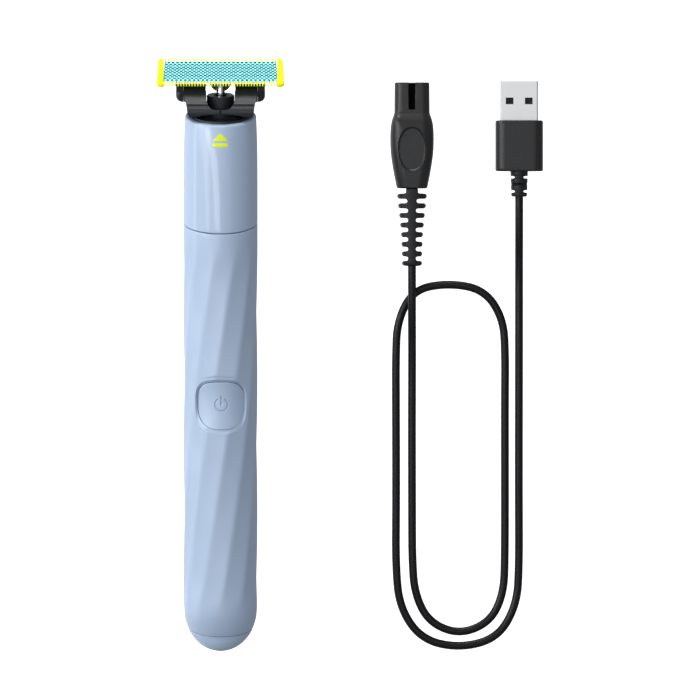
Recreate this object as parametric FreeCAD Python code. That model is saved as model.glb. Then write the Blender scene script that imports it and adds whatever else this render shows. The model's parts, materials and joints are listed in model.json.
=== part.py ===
import FreeCAD, Part
import math
import os

# Cordless body groomer with its charging lead, lying on its back.
# +Z is the button side, +Y points to the blade, +X to the right.
# The origin is under the middle of the groomer, on the surface it lies on.
# All lengths are in millimetres.

V = FreeCAD.Vector

# ---------------------------------------------------------------- driving dimensions
AXIS_Z = 11.93            # height of the handle's axis
HANDLE_R = 11.80          # smooth grip radius
EDGE_R = 11.92            # radius to the crests between facets
FLAT_R = 11.44            # radius to the middle of each facet
FACETS = 11               # twisted flats round the grip
TWIST = 0.776             # degrees of twist per mm of length
TWIST_AT_0 = -2.1         # angle of one crest at mid length, from the front
CAVITY_R = 9.90           # inside radius of the shells
END_Y = -94.26            # rounded bottom end
SEAM_SLOPE = 0.315        # all three seams slope this much, lower at the front
RIM_Y = 76.2
PARTING_Y = 42.05
CAP_SEAM_Y = -87.1
RIM_BORE_R = 9.35

BUTTON_X = 0.16
BUTTON_Y = -14.9          # widest line of the button
BUTTON_HALF_W = 7.32
BUTTON_UP = 6.15
BUTTON_DOWN = 8.95
BUTTON_TRAVEL = 0.60
BUTTON_GAP = 0.15
RECESS_EDGE = 0.80
BUTTON_TOP_R = 11.28
ICON_Z = AXIS_Z + 10.85        # floor of the engraved symbol

BATTERY_R = 7.10
BATTERY_Y = (-76.0, -26.0)
BATTERY_DROP = 2.60
MOTOR_R = 7.70
MOTOR_Y = (8.0, 32.0)
CRANK_THROW = 0.41
CRANK_PIN_R = 0.60

LEVER_Y = 62.0            # drive lever's pivot
FORK_HALF_GAP = 1.62
SHAFT_TILT = 12.6         # upper shaft and its post lean forward
SHAFT_BEND = (77.0, 0.30) # Y and height over the axis where the lean starts
SHAFT_R = 1.00
POST_R = 4.40
POST_LEN = 5.80
POST_BORE_R = 2.10

BLADE_TILT = 40.0         # blade face against the handle
BLADE_Y = 90.12
BLADE_DZ = 4.00           # blade centre over the handle's axis
BLADE_HALF_V = 5.40
MESH_HALF_U = 18.0
MESH_HALF_V = 4.10
TOOTH_PITCH = 0.885
TOOTH_COUNT = 41
HINGE_Y = 83.0            # blade tilt pivot
HINGE_DZ = 1.00
HINGE_PIN_R = 0.90
HINGE_BORE_R = 0.95

PIN_R = 0.75              # charge pins
TANG = 0.5                     # half width of the pins' square tangs
PIN_SPACING = 5.40
PIN_LEN = 5.50
SOCKET_FLOOR_Y = -84.0
SOCKET_W = 11.40
SOCKET_H = 6.60

PLUG_X = 60.92            # charging lead's small plug
PLUG_Z = 4.80
USB_X = 95.05
USB_Z = 4.00
CORD_D = 2.60

Z0 = AXIS_Z
parts = {}


# ---------------------------------------------------------------- helpers
def box(x0, x1, y0, y1, z0, z1):
    return Part.makeBox(x1 - x0, y1 - y0, z1 - z0, V(x0, y0, z0))


def cyl_y(x, z, r, y0, y1):
    return Part.makeCylinder(r, y1 - y0, V(x, y0, z), V(0, 1, 0))


def cyl_x(y, z, r, x0, x1):
    return Part.makeCylinder(r, x1 - x0, V(x0, y, z), V(1, 0, 0))


def cyl_z(x, y, r, z0, z1):
    return Part.makeCylinder(r, z1 - z0, V(x, y, z0), V(0, 0, 1))


def prism_z(pts, z0, z1):
    w = Part.makePolygon([V(x, y, z0) for x, y in pts] + [V(pts[0][0], pts[0][1], z0)])
    return Part.Face(w).extrude(V(0, 0, z1 - z0))


def prism_x(pts, x0, x1):
    # pts are (y, height over the axis)
    w = Part.makePolygon([V(x0, y, Z0 + z) for y, z in pts] + [V(x0, pts[0][0], Z0 + pts[0][1])])
    return Part.Face(w).extrude(V(x1 - x0, 0, 0))


def revolve_y(pts, cx=0.0, cz=None):
    # closed profile of (radius, y)
    cz = Z0 if cz is None else cz
    w = Part.makePolygon([V(cx + r, y, cz) for r, y in pts] + [V(cx + pts[0][0], pts[0][1], cz)])
    return Part.Face(w).revolve(V(cx, 0, cz), V(0, 1, 0), 360)


def stadium_y(cx, cz, w, h, y0, y1):
    # flat oval section, rounded left and right
    r = h / 2.0
    b = box(cx - w / 2.0 + r, cx + w / 2.0 - r, y0, y1, cz - r, cz + r)
    return b.fuse([cyl_y(cx - w / 2.0 + r, cz, r, y0, y1), cyl_y(cx + w / 2.0 - r, cz, r, y0, y1)]).removeSplitter()


def below(y_at_axis, x=40.0):
    # everything under one of the sloping seams
    s = SEAM_SLOPE
    return prism_x([(y_at_axis - s * 30, 30), (-130, 30), (-130, -30), (y_at_axis + s * 30, -30)], -x, x)


def above(y_at_axis, x=40.0):
    s = SEAM_SLOPE
    return prism_x([(y_at_axis - s * 30, 30), (130, 30), (130, -30), (y_at_axis + s * 30, -30)], -x, x)


def one(shape):
    s = shape.removeSplitter() if hasattr(shape, "removeSplitter") else shape
    sol = s.Solids
    if len(sol) == 1:
        return sol[0]
    sol = sorted(sol, key=lambda q: -q.Volume)
    print("   note: %d solids, volumes %s" % (len(sol), [round(q.Volume, 3) for q in sol[:4]]))
    return sol[0]


def keep(name, shape):
    parts[name] = shape


# ---------------------------------------------------------------- outer form of the handle
def grip_profile(y):
    table = [(-94.26, 0.0), (-93.5, 3.8), (-92.5, 5.75), (-91.5, 7.05), (-89.6, 8.80), (-87.7, 9.95),
             (-85.8, 10.72), (-83.9, 11.28), (-82.0, 11.60), (-79.0, 11.78), (-76.0, 11.80), (40.0, 11.80),
             (59.0, 11.80), (66.0, 11.72), (72.0, 11.52), (76.0, 11.36), (80.5, 11.2)]
    for (ya, ra), (yb, rb) in zip(table, table[1:]):
        if ya <= y <= yb:
            return ra + (rb - ra) * (y - ya) / (yb - ya)
    return table[-1][1]


def facet_strength(y):
    def smooth(t):
        t = max(0.0, min(1.0, t))
        return t * t * (3 - 2 * t)
    return smooth((35.5 - y) / 19.0) * smooth((y + 84.0) / 10.0)


def section(y):
    s = facet_strength(y)
    base = grip_profile(y)
    rc = base + s * (EDGE_R - HANDLE_R)
    rm = base + s * (FLAT_R - HANDLE_R)
    step = 360.0 / FACETS
    ph = TWIST_AT_0 + TWIST * y
    edges = []
    for k in range(FACETS):
        a0 = math.radians(ph + k * step)
        a1 = math.radians(ph + (k + 0.5) * step)
        a2 = math.radians(ph + (k + 1) * step)
        p0 = V(rc * math.sin(a0), y, Z0 + rc * math.cos(a0))
        p1 = V(rm * math.sin(a1), y, Z0 + rm * math.cos(a1))
        p2 = V(rc * math.sin(a2), y, Z0 + rc * math.cos(a2))
        edges.append(Part.Arc(p0, p1, p2).toShape())
    return Part.Wire(edges)


levels = [-84.0, -81.0, -78.0, -75.0, -71.0] + [-66.0 + 6.5 * i for i in range(13)] + [17.0, 21.0, 25.0, 30.0, 35.5]
levels = sorted(set(levels))
grip = Part.makeLoft([section(y) for y in levels], True, False)

dome_pts = [(-84.0, grip_profile(-84.0)), (-85.8, 10.72), (-87.7, 9.95), (-89.6, 8.80), (-91.5, 7.05), (-92.5, 5.75),
            (-93.5, 3.8), (-94.12, 1.5), (END_Y, 0.0)]
spline = Part.BSplineCurve()
spline.interpolate([V(r, y, Z0) for y, r in dome_pts])
dome_wire = Part.Wire([spline.toShape(), Part.LineSegment(V(0, END_Y, Z0), V(0, -84.0, Z0)).toShape(),
                       Part.LineSegment(V(0, -84.0, Z0), V(grip_profile(-84.0), -84.0, Z0)).toShape()])
dome = Part.Face(dome_wire).revolve(V(0, 0, Z0), V(0, 1, 0), 360)

top_spline = Part.BSplineCurve()
top_spline.interpolate([V(r, y, Z0) for y, r in [(35.5, 11.8), (48.0, 11.8), (59.0, 11.79), (66.0, 11.72), (72.0, 11.54), (76.0, 11.38), (81.0, 11.2)]])
top_wire = Part.Wire([top_spline.toShape(), Part.LineSegment(V(11.2, 81.0, Z0), V(0, 81.0, Z0)).toShape(),
                      Part.LineSegment(V(0, 81.0, Z0), V(0, 35.5, Z0)).toShape(),
                      Part.LineSegment(V(0, 35.5, Z0), V(11.8, 35.5, Z0)).toShape()])
top_form = Part.Face(top_wire).revolve(V(0, 0, Z0), V(0, 1, 0), 360)
print("grip", round(grip.Volume, 1), grip.isValid(), "dome", round(dome.Volume, 1), dome.isValid(), "top", round(top_form.Volume, 1))

# ---------------------------------------------------------------- button outline
def outline(grow, n=28):
    pts = []
    for i in range(n):
        t = 2 * math.pi * i / n
        c, s = math.cos(t), math.sin(t)
        e = 2.0 / (3.4 if s > 0 else 2.35)
        ex = 2.0 / (3.4 if s > 0 else 2.35)
        a = BUTTON_HALF_W + grow
        b = (BUTTON_UP if s > 0 else BUTTON_DOWN) + grow
        pts.append((BUTTON_X + a * math.copysign(abs(c) ** ex, c), BUTTON_Y + b * math.copysign(abs(s) ** e, s)))
    return pts


def button_prism(grow, z0, z1):
    bs = Part.BSplineCurve()
    bs.interpolate([V(x, y, z0) for x, y in outline(grow)], PeriodicFlag=True)
    return Part.Face(Part.Wire([bs.toShape()])).extrude(V(0, 0, z1 - z0))


# ---------------------------------------------------------------- shells
cavity = cyl_y(0, Z0, CAVITY_R, -83.0, 90.0)
lower = grip.fuse([dome, top_form]).removeSplitter()
lower = one(lower)
body = lower.common(above(CAP_SEAM_Y)).common(below(PARTING_Y))
inner_tail = revolve_y([(0, -83.0), (9.9, -83.0), (9.3, -85.2), (8.3, -87.4), (7.0, -89.4), (5.6, -91.0), (0, -91.0)])
body = body.cut(cavity.fuse(inner_tail))
# shallow recess and through hole for the button
body = body.cut(button_prism(RECESS_EDGE, Z0 + 4, Z0 + 14).cut(cyl_y(0, Z0, 11.0, -60, 30)))
body = body.cut(button_prism(BUTTON_GAP, Z0 + 4, Z0 + 14))
keep("body_shell", one(body))

upper = top_form.common(above(PARTING_Y)).common(below(RIM_Y))
upper = upper.cut(cyl_y(0, Z0, CAVITY_R, 30.0, 66.4)).cut(cyl_y(0, Z0, RIM_BORE_R, 66.4, 90.0))
tri = [(-2.47, 67.85), (2.47, 67.85), (0.0, 70.4)]
bar = [(-2.47, 65.95), (2.47, 65.95), (2.47, 67.15), (-2.47, 67.15)]
mark = prism_z(tri, Z0 + 5, Z0 + 14).fuse(prism_z(bar, Z0 + 5, Z0 + 14))
upper = upper.cut(mark.cut(cyl_y(0, Z0, 11.25, 60, 75)))
keep("upper_housing", one(upper))
mark_skin = top_form.common(mark).cut(cyl_y(0, Z0, 11.25, 60, 75))
keep("eject_mark", Part.makeCompound(mark_skin.Solids))

cap = dome.fuse(grip).removeSplitter().common(below(CAP_SEAM_Y))
cap = cap.cut(inner_tail.fuse(cavity))
cap = cap.cut(stadium_y(0, Z0, SOCKET_W + 1.9, SOCKET_H + 1.9, -96, -82))
keep("end_cap", one(cap))

# ---------------------------------------------------------------- charging socket in the end cap
socket = stadium_y(0, Z0, SOCKET_W + 1.8, SOCKET_H + 1.8, -96, -81.6)
lip_form = dome.copy()
lip_form.translate(V(0, -0.5, 0))            # its lip stands a little proud of the cap
socket = socket.common(lip_form.fuse(cyl_y(0, Z0, 11.0, -85.0, -80.0)))
cavity_socket = stadium_y(0, Z0, SOCKET_W, SOCKET_H, -97, SOCKET_FLOOR_Y)
key = box(-0.75, 0.75, -92.0, -83.5, Z0 + 2.55, Z0 + 3.6)
socket = socket.cut(cavity_socket.cut(key))
for sx in (-1, 1):
    socket = socket.cut(box(sx * PIN_SPACING / 2 - TANG, sx * PIN_SPACING / 2 + TANG, -90, -80, Z0 - TANG, Z0 + TANG))
keep("charge_socket", one(socket))
pins = []
for sx in (-1, 1):
    x = sx * PIN_SPACING / 2
    body_pin = cyl_y(x, Z0, PIN_R, SOCKET_FLOOR_Y - PIN_LEN + 0.4, SOCKET_FLOOR_Y)
    body_pin = body_pin.fuse(box(x - TANG, x + TANG, SOCKET_FLOOR_Y - 0.5, -79.9, Z0 - TANG, Z0 + TANG))   # square tang behind the floor
    tip = Part.makeCone(PIN_R - 0.35, PIN_R, 0.4, V(x, SOCKET_FLOOR_Y - PIN_LEN, Z0), V(0, 1, 0))
    pins.append(one(body_pin.fuse(tip)))
keep("charge_pins", Part.makeCompound(pins))

# ---------------------------------------------------------------- seals between the shells
keep("body_seal", cyl_y(0, Z0, 9.85, 47.0, 48.6).cut(cyl_y(0, Z0, 9.35, 46.5, 49)))
keep("cap_seal", cyl_y(0, Z0, 9.85, -82.6, -81.4).cut(cyl_y(0, Z0, 9.0, -83, -81)))

# ---------------------------------------------------------------- chassis
rails = [box(sx * 8.45 - 0.55, sx * 8.45 + 0.55, -79.6, 66.0, Z0 - 2.0, Z0 + 2.0) for sx in (-1, 1)]
disc1 = cyl_y(0, Z0, 9.3, -79.6, -78.2)
disc2 = cyl_y(0, Z0, 9.3, -24.0, -22.4)
disc3 = cyl_y(0, Z0, 9.3, 5.0, 6.6).cut(cyl_y(0, Z0, 3.2, 4, 8))
disc4 = cyl_y(0, Z0, 9.3, 33.4, 35.2).cut(cyl_y(0, Z0, 3.6, 33, 36))
disc5 = cyl_y(0, Z0, 9.3, 55.4, 57.0).cut(box(-5.0, 5.0, 55, 58, Z0 - 3.4, Z0 + 3.4))
plate_up = box(-9.0, 9.0, 55.4, 66.0, Z0 + 4.4, Z0 + 5.9).common(cyl_y(0, Z0, 9.3, 50, 70))
plate_dn = box(-9.0, 9.0, 55.4, 66.0, Z0 - 5.9, Z0 - 4.4).common(cyl_y(0, Z0, 9.3, 50, 70))
chassis = rails[0].fuse([rails[1], disc1, disc2, disc3, disc4, disc5, plate_up, plate_dn]).removeSplitter()
chassis = chassis.cut(box(-12, 12, -78.0, 2.5, Z0 + 4.75, Z0 + 12))     # room for the circuit board
chassis = chassis.cut(box(-12, 12, -80, -78.0, Z0 + 4.75, Z0 + 12))
chassis = chassis.cut(cyl_z(0, LEVER_Y, 1.0, Z0 - 12, Z0 + 12))
for sx in (-1, 1):
    chassis = chassis.cut(cyl_y(sx * 6.3, Z0 - 5.0, 0.7, 33, 36))
keep("chassis", one(chassis))
screws = []
for sx in (-1, 1):
    scr = cyl_y(sx * 6.3, Z0 - 5.0, 0.68, 32.05, 35.2).fuse(cyl_y(sx * 6.3, Z0 - 5.0, 1.3, 35.2, 36.2))
    scr = scr.cut(box(sx * 6.3 - 1.0, sx * 6.3 + 1.0, 35.8, 36.4, Z0 - 5.2, Z0 - 4.8))
    screws.append(one(scr))

# ---------------------------------------------------------------- battery and electronics
BZ = Z0 - BATTERY_DROP
cell = revolve_y([(0, BATTERY_Y[0]), (BATTERY_R - 0.4, BATTERY_Y[0]), (BATTERY_R, BATTERY_Y[0] + 0.4), (BATTERY_R, BATTERY_Y[1] - 1.4),
                  (BATTERY_R - 0.5, BATTERY_Y[1] - 0.8), (2.8, BATTERY_Y[1] - 0.8), (2.8, BATTERY_Y[1]), (0, BATTERY_Y[1])], 0, BZ)
keep("battery_cell", one(cell))
keep("battery_tab_plus", one(box(-2.0, 2.0, -25.98, -25.7, BZ - 2.0, Z0 + 4.9).fuse(box(-2.0, 2.0, -25.98, -24.4, Z0 + 4.9, Z0 + 5.18))))
keep("battery_tab_minus", one(box(-2.0, 2.0, -76.35, -76.02, BZ - 2.0, Z0 + 4.9).fuse(box(-2.0, 2.0, -76.35, -74.5, Z0 + 4.9, Z0 + 5.18))))
board = box(-6.75, 6.75, -77.5, 2.0, Z0 + 5.2, Z0 + 6.2)
for sx in (-1, 1):
    board = board.cut(cyl_z(sx * 4.6, -40.0, 0.8, Z0 + 5, Z0 + 7))
keep("circuit_board", one(board))
sw = box(-3.0, 3.0, BUTTON_Y - 4.5, BUTTON_Y + 1.5, Z0 + 6.2, Z0 + 7.6).fuse(cyl_z(0, BUTTON_Y - 1.5, 1.6, Z0 + 7.6, Z0 + 8.1))
keep("tact_switch", one(sw))
keep("control_chips", Part.makeCompound([
    box(-3.5, 3.5, -40.0 - 3.5, -40.0 + 3.5, Z0 + 6.2, Z0 + 7.2), box(-5.5, -2.5, -56.0, -52.0, Z0 + 6.2, Z0 + 7.5),
    box(1.5, 5.5, -57.5, -51.5, Z0 + 6.2, Z0 + 7.3), box(-2.0, 2.0, -70.0, -65.0, Z0 + 6.2, Z0 + 7.6),
    box(-5.6, -4.0, -30.5, -29.0, Z0 + 6.2, Z0 + 6.9), box(4.0, 5.6, -30.5, -29.0, Z0 + 6.2, Z0 + 6.9)]))

# ---------------------------------------------------------------- power button and its membrane
btn = button_prism(0.0, Z0 + 9.95 * 0 + 8.9, Z0 + 14).common(cyl_y(0, Z0, BUTTON_TOP_R, -40, 10))
btn = btn.cut(cyl_y(0, Z0, 10.40, -40, 10).common(button_prism(-1.1, Z0, Z0 + 14)))
btn = btn.fuse(cyl_z(0, BUTTON_Y - 1.5, 1.9, Z0 + 8.80, Z0 + 10.9))
ring = cyl_z(BUTTON_X, -16.3, 2.22, ICON_Z, Z0 + 12).cut(cyl_z(BUTTON_X, -16.3, 1.78, ICON_Z - 0.2, Z0 + 12))
ring = ring.cut(prism_z([(BUTTON_X - 0.85, -13.5), (BUTTON_X + 0.85, -13.5), (BUTTON_X + 0.35, -16.3), (BUTTON_X - 0.35, -16.3)], ICON_Z - 0.2, Z0 + 12))
stroke = box(BUTTON_X - 0.22, BUTTON_X + 0.22, -16.6, -13.7, ICON_Z, Z0 + 12)
btn = btn.cut(ring.fuse(stroke))
keep("power_button", one(btn))

# ---------------------------------------------------------------- motor
keep("motor_can", one(cyl_y(0, Z0, MOTOR_R, *MOTOR_Y).cut(cyl_y(0, Z0, MOTOR_R - 0.7, MOTOR_Y[0] + 0.8, MOTOR_Y[1] - 0.8))
                      .cut(cyl_y(0, Z0, 2.0, MOTOR_Y[0] - 1, MOTOR_Y[1] + 1))))
keep("motor_bearings", Part.makeCompound([cyl_y(0, Z0, 2.0, MOTOR_Y[0] - 0.3, MOTOR_Y[0] + 1.6).cut(cyl_y(0, Z0, 0.78, 0, 60)),
                                          cyl_y(0, Z0, 2.0, MOTOR_Y[1] - 1.6, MOTOR_Y[1] + 0.6).cut(cyl_y(0, Z0, 0.78, 0, 60))]))
mag = cyl_y(0, Z0, MOTOR_R - 0.72, 12.0, 28.0).cut(cyl_y(0, Z0, 5.7, 11, 29))
mags = mag.cut(box(-9, 9, 11, 29, Z0 - 1.4, Z0 + 1.4))
keep("motor_magnets", Part.makeCompound(mags.Solids))
arm = cyl_y(0, Z0, 5.3, 12.5, 27.5).cut(cyl_y(0, Z0, 0.75, 0, 60))
for k in range(3):
    a = math.radians(90 + 120 * k)
    slot_box = box(-0.5, 0.5, 12, 28, 3.0, 6.0)
    slot_box.rotate(V(0, 0, 0), V(0, 1, 0), 120 * k)
    slot_box.translate(V(0, 0, Z0))
    arm = arm.cut(slot_box)
keep("motor_armature", one(arm))
keep("motor_shaft", cyl_y(0, Z0, 0.75, MOTOR_Y[0] + 0.4, 38.6))
crank = cyl_y(0, Z0, 3.0, 36.4, 39.6).cut(cyl_y(0, Z0, 0.75, 36, 38.6))
crank = crank.cut(box(-4, 4, 36, 40, Z0 + 1.8, Z0 + 4))
crank = crank.cut(cyl_y(0, Z0 + CRANK_THROW, CRANK_PIN_R, 38.75, 40))
keep("eccentric_crank", one(crank))
keep("crank_pin", cyl_y(0, Z0 + CRANK_THROW, CRANK_PIN_R, 38.75, 45.6))
for i in range(2):
    screws[i] = one(screws[i])
keep("chassis_screws", Part.makeCompound([s for s in screws]))

# ---------------------------------------------------------------- drive lever
def fork_pts(side):
    g = FORK_HALF_GAP
    return [(side * g, 41.6), (side * (g + 1.7), 41.6), (side * (g + 1.7), 57.0), (side * 2.4, 61.0), (side * 0.2, 61.0), (side * 0.2, 50.0), (side * g, 48.5)]


lever = prism_z(fork_pts(1), Z0 - 1.9, Z0 + 1.9).fuse(prism_z(fork_pts(-1), Z0 - 1.9, Z0 + 1.9))
lever = lever.fuse(box(-0.6, 0.6, 50.2, 61.0, Z0 - 1.9, Z0 + 1.9))
lever = lever.fuse(cyl_z(0, LEVER_Y, 3.0, Z0 - 3.9, Z0 + 3.9))
lever = lever.fuse(cyl_y(0, Z0, 2.1, LEVER_Y, 70.0))
lever = lever.cut(cyl_z(0, LEVER_Y, 1.05, Z0 - 6, Z0 + 6))
lever = lever.cut(cyl_y(0, Z0, 0.80, 64.0, 71.0))
keep("drive_lever", one(lever))
keep("lever_pivot_pin", cyl_z(0, LEVER_Y, 1.0, Z0 - 6.2, Z0 + 6.2))

sb = V(0, SHAFT_BEND[0], Z0 + SHAFT_BEND[1])
sd = V(0, math.cos(math.radians(SHAFT_TILT)), math.sin(math.radians(SHAFT_TILT)))
lower_shaft = cyl_y(0, Z0, 0.80, 64.0, SHAFT_BEND[0] - 1.2)
joiner = Part.makeSphere(0.95, V(0, SHAFT_BEND[0] - 1.0, Z0 + 0.08))
prof = [(0.0, -1.3), (0.85, -1.3), (0.85, 5.0), (1.02, 5.25), (1.36, 5.9), (1.36, 6.7), (1.12, 8.0), (1.0, 8.8), (1.0, 10.9), (0.7, 11.25), (0.0, 11.25)]
up = revolve_y(prof, 0, 0)
up.rotate(V(0, 0, 0), V(1, 0, 0), SHAFT_TILT)
up.translate(sb)
keep("drive_shaft", one(lower_shaft.fuse([joiner, up])))

# ---------------------------------------------------------------- top insert with the drive post
ins = cyl_y(0, Z0, RIM_BORE_R - 0.05, 66.4, 81.0)
arch = Part.makeCylinder(41.0, 60.0, V(0, 76.2 - 41.0, Z0 - 30), V(0, 0, 1))
ins = ins.common(arch)
slope = prism_x([(72.55, 11.2), (77.2, 7.3), (90, 7.3), (90, 14), (72.55, 14)], -12, 12)
ins = ins.cut(slope)
ins = ins.common(below(RIM_Y + 0.6))
bore_top = Part.makeCylinder(POST_BORE_R, 20.0, sb - sd * 4.5, sd)
post = Part.makeCylinder(POST_R, POST_LEN + 3.5, sb - sd * 3.5, sd)
post_seat = Part.makeCylinder(POST_R, 20.0, sb - sd * 3.5, sd)
ins_low = ins.cut(post_seat)
ins_low = ins_low.cut(cyl_y(0, Z0, 2.6, 60.0, 72.9))
ins_low = ins_low.cut(bore_top)
for sx in (-1, 1):
    ins_low = ins_low.cut(box(sx * 7.3 - 0.95, sx * 7.3 + 0.95, 71.8, 80.0, Z0 - 3.0, Z0 + 3.0))
keep("top_insert", one(ins_low))
post = post.cut(bore_top)
post = post.makeChamfer(0.25, [e for e in post.Edges if abs(e.Length - 2 * math.pi * POST_R) < 0.2 and e.CenterOfMass.y > 80])
keep("drive_post", one(post))
boot = Part.makeCylinder(POST_BORE_R - 0.02, 1.0, sb + sd * 1.6, sd).cut(Part.makeCylinder(1.42, 3.0, sb + sd * 1.0, sd))
keep("shaft_seal", one(boot))

# ---------------------------------------------------------------- blade unit: yoke
front = [(-14.0, 90.0), (-11.82, 90.0), (-11.74, 84.0), (-11.33, 80.5), (-10.92, 79.6), (-10.50, 76.7), (-9.95, 75.6), (-9.07, 74.7)]
front = [(-11.74, 90.0), (-11.74, 83.6), (-11.36, 80.9), (-10.92, 79.4), (-10.55, 76.7), (-10.05, 75.7), (-9.07, 74.6)]
outl = front + [(-x, y) for x, y in reversed(front)]
yoke = prism_z(outl, Z0 - 12, Z0 + 12)
hz = HINGE_DZ
side = [(74.0, 7.0), (75.0, 8.0), (75.8, 8.65), (76.7, 8.98), (77.3, 8.93), (78.2, 8.5), (79.02, 7.95), (79.12, 7.45), (79.45, 7.45), (79.6, 8.15), (81.6, 6.6), (83.6, 4.9), (85.4, 3.4),
        (86.1, 2.4), (86.4, 1.0), (86.0, -0.6), (84.9, -1.8), (83.0, -2.4), (81.0, -4.2), (79.0, -7.2), (77.4, -8.6), (75.0, -8.6), (74.0, -8.6)]
yoke = yoke.common(prism_x(side, -13, 13))
# open middle: the drive post stands in it, the front wall has a U-shaped cut
tunnel = box(-4.52, 4.52, 70, 95, Z0 - 4.5, Z0 + 6.15)
yoke = yoke.cut(tunnel)
ucut = [(-4.7, 90.0), (-4.7, 83.9), (-4.52, 83.3), (-4.48, 80.6), (-4.0, 79.4), (-3.4, 78.5), (-2.6, 78.0), (-1.6, 77.75), (1.6, 77.75), (2.6, 78.0), (3.4, 78.5), (4.0, 79.4), (4.48, 80.6), (4.52, 83.3), (4.7, 83.9), (4.7, 90.0)]
yoke = yoke.cut(prism_z(ucut, Z0 + 2.0, Z0 + 12))
yoke = yoke.cut(box(-4.7, 4.7, 83.9, 95, Z0 - 12, Z0 + 12).fuse(box(-4.52, 4.52, 82.5, 84.0, Z0 - 12, Z0 + 12)))   # see-through above the post
yoke = yoke.cut(box(-0.28, 0.28, 70, 79, Z0 + 3, Z0 + 12))           # slit in the front lip
arch2 = Part.makeCylinder(41.18, 60.0, V(0, 76.2 - 41.0, Z0 - 30), V(0, 0, 1))
yoke = yoke.cut(arch2)
ring_keepout = cyl_y(0, Z0, 14.0, 60, 90).cut(cyl_y(0, Z0, RIM_BORE_R - 0.30, 59, 91)).common(below(RIM_Y + 0.35))
yoke = yoke.cut(ring_keepout)
for sx in (-1, 1):
    lug = box(sx * 7.3 - 0.75, sx * 7.3 + 0.75, 72.3, 77.5, Z0 - 2.7, Z0 + 2.7)
    boss = cyl_x(HINGE_Y, Z0 + hz, 2.62, 10.4, 11.80) if sx > 0 else cyl_x(HINGE_Y, Z0 + hz, 2.62, -11.80, -10.4)
    yoke = yoke.fuse([lug, boss])
    yoke = yoke.cut(cyl_x(HINGE_Y, Z0 + hz, HINGE_BORE_R, 8.4 if sx > 0 else -12.5, 12.5 if sx > 0 else -8.4))
keep("blade_yoke", one(yoke))

# ---------------------------------------------------------------- blade head, in its own tilted frame
head_place = FreeCAD.Placement(V(0, BLADE_Y, Z0 + BLADE_DZ), FreeCAD.Rotation(V(1, 0, 0), -BLADE_TILT))


def tilted(shape):
    s = shape.copy()
    s.Placement = head_place.multiply(s.Placement)
    return s


def lbox(u0, u1, v0, v1, n0, n1):
    return Part.makeBox(u1 - u0, v1 - v0, n1 - n0, V(u0, v0, n0))


keep("guard_mesh", tilted(lbox(-MESH_HALF_U, MESH_HALF_U, -MESH_HALF_V, MESH_HALF_V, -0.25, 0.0)))
base = lbox(-18.0, 18.0, -3.3, 4.3, -1.5, -0.80).cut(lbox(-4.7, 4.7, -2.6, 3.2, -2, 0))
fingers = []
x_first = -(TOOTH_COUNT - 1) / 2.0 * TOOTH_PITCH
for i in range(TOOTH_COUNT):
    x = x_first + i * TOOTH_PITCH
    w = 0.21
    # each tooth is a loop: over the cutter, round its front and back under it to the base
    up_t = lbox(x - w, x + w, 4.12, 5.35, -0.25, 0.05).fuse([lbox(x - w, x + w, 5.0, 5.35, -1.5, 0.05), lbox(x - w, x + w, 4.2, 5.35, -1.5, -1.2)])
    dn_t = lbox(x - w, x + w, -5.75, -4.12, -0.25, 0.05).fuse([lbox(x - w, x + w, -5.75, -5.05, -1.5, 0.05), lbox(x - w, x + w, -5.75, -3.2, -1.5, -1.2)])
    fingers += [up_t, dn_t]
comb = base.fuse(fingers).removeSplitter()
keep("comb_frame", tilted(one(comb)))


def cap_shape(side):
    s = side
    pts = [(s * 18.02, -5.55), (s * 20.38, -5.55), (s * 19.78, 5.4), (s * 18.02, 5.4)]
    w = Part.makePolygon([V(x, y, -1.5) for x, y in pts] + [V(pts[0][0], pts[0][1], -1.5)])
    c = Part.Face(w).extrude(V(0, 0, 1.8))
    corner = [e for e in c.Edges if abs(e.Vertexes[0].Z - e.Vertexes[-1].Z) > 1 and abs(e.CenterOfMass.x) > 19]
    c = c.makeFillet(0.9, corner)
    return tilted(c)


keep("end_cap_left", cap_shape(-1))
keep("end_cap_right", cap_shape(1))

blade = lbox(-16.4, 16.4, -4.0, 4.0, -0.62, -0.34)
teeth = []
for i in range(36):
    x = -15.6 + i * 0.8914
    teeth.append(lbox(x - 0.2, x + 0.2, -4.8, 4.8, -0.62, -0.34))
blade = blade.fuse(teeth).removeSplitter()
keep("cutter_blade", tilted(one(blade)))

carrier = lbox(-17.6, 17.6, -1.9, 4.2, -2.70, -1.52).fuse(lbox(-14.1, 14.1, -4.4, -1.8, -2.70, -1.52)).removeSplitter()
carrier = carrier.cut(lbox(-4.7, 4.7, -6.0, 3.2, -3, -1))
carrier = tilted(carrier)
for sx in (-1, 1):
    def xs(p, q):
        return (p, q) if sx > 0 else (-q, -p)
    ear = cyl_x(HINGE_Y, Z0 + hz, 2.6, *xs(11.84, 14.2))
    rim_edge = [e for e in ear.Edges if abs(e.CenterOfMass.x - sx * 14.2) < 0.01 and abs(e.Length - 2 * math.pi * 2.6) < 0.1]
    ear = ear.makeFillet(2.0, rim_edge)
    web = prism_x([(84.98, 4.85), (88.3, 2.0), (85.2, -0.6), (83.2, -1.5), (81.0, 0.2), (81.0, 2.2), (82.2, 3.6)], *xs(11.84, 12.9))
    shoulder = prism_x([(84.98, 4.85), (88.3, 2.0), (85.6, 0.2), (83.7, 1.9), (83.7, 4.3)], *xs(11.84, 14.15))
    carrier = carrier.fuse([ear, web, shoulder])
    carrier = carrier.cut(cyl_x(HINGE_Y, Z0 + hz, HINGE_PIN_R, 8 if sx > 0 else -13.2, 13.2 if sx > 0 else -8))
carrier = carrier.removeSplitter()
keep("blade_carrier", one(carrier))
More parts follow.
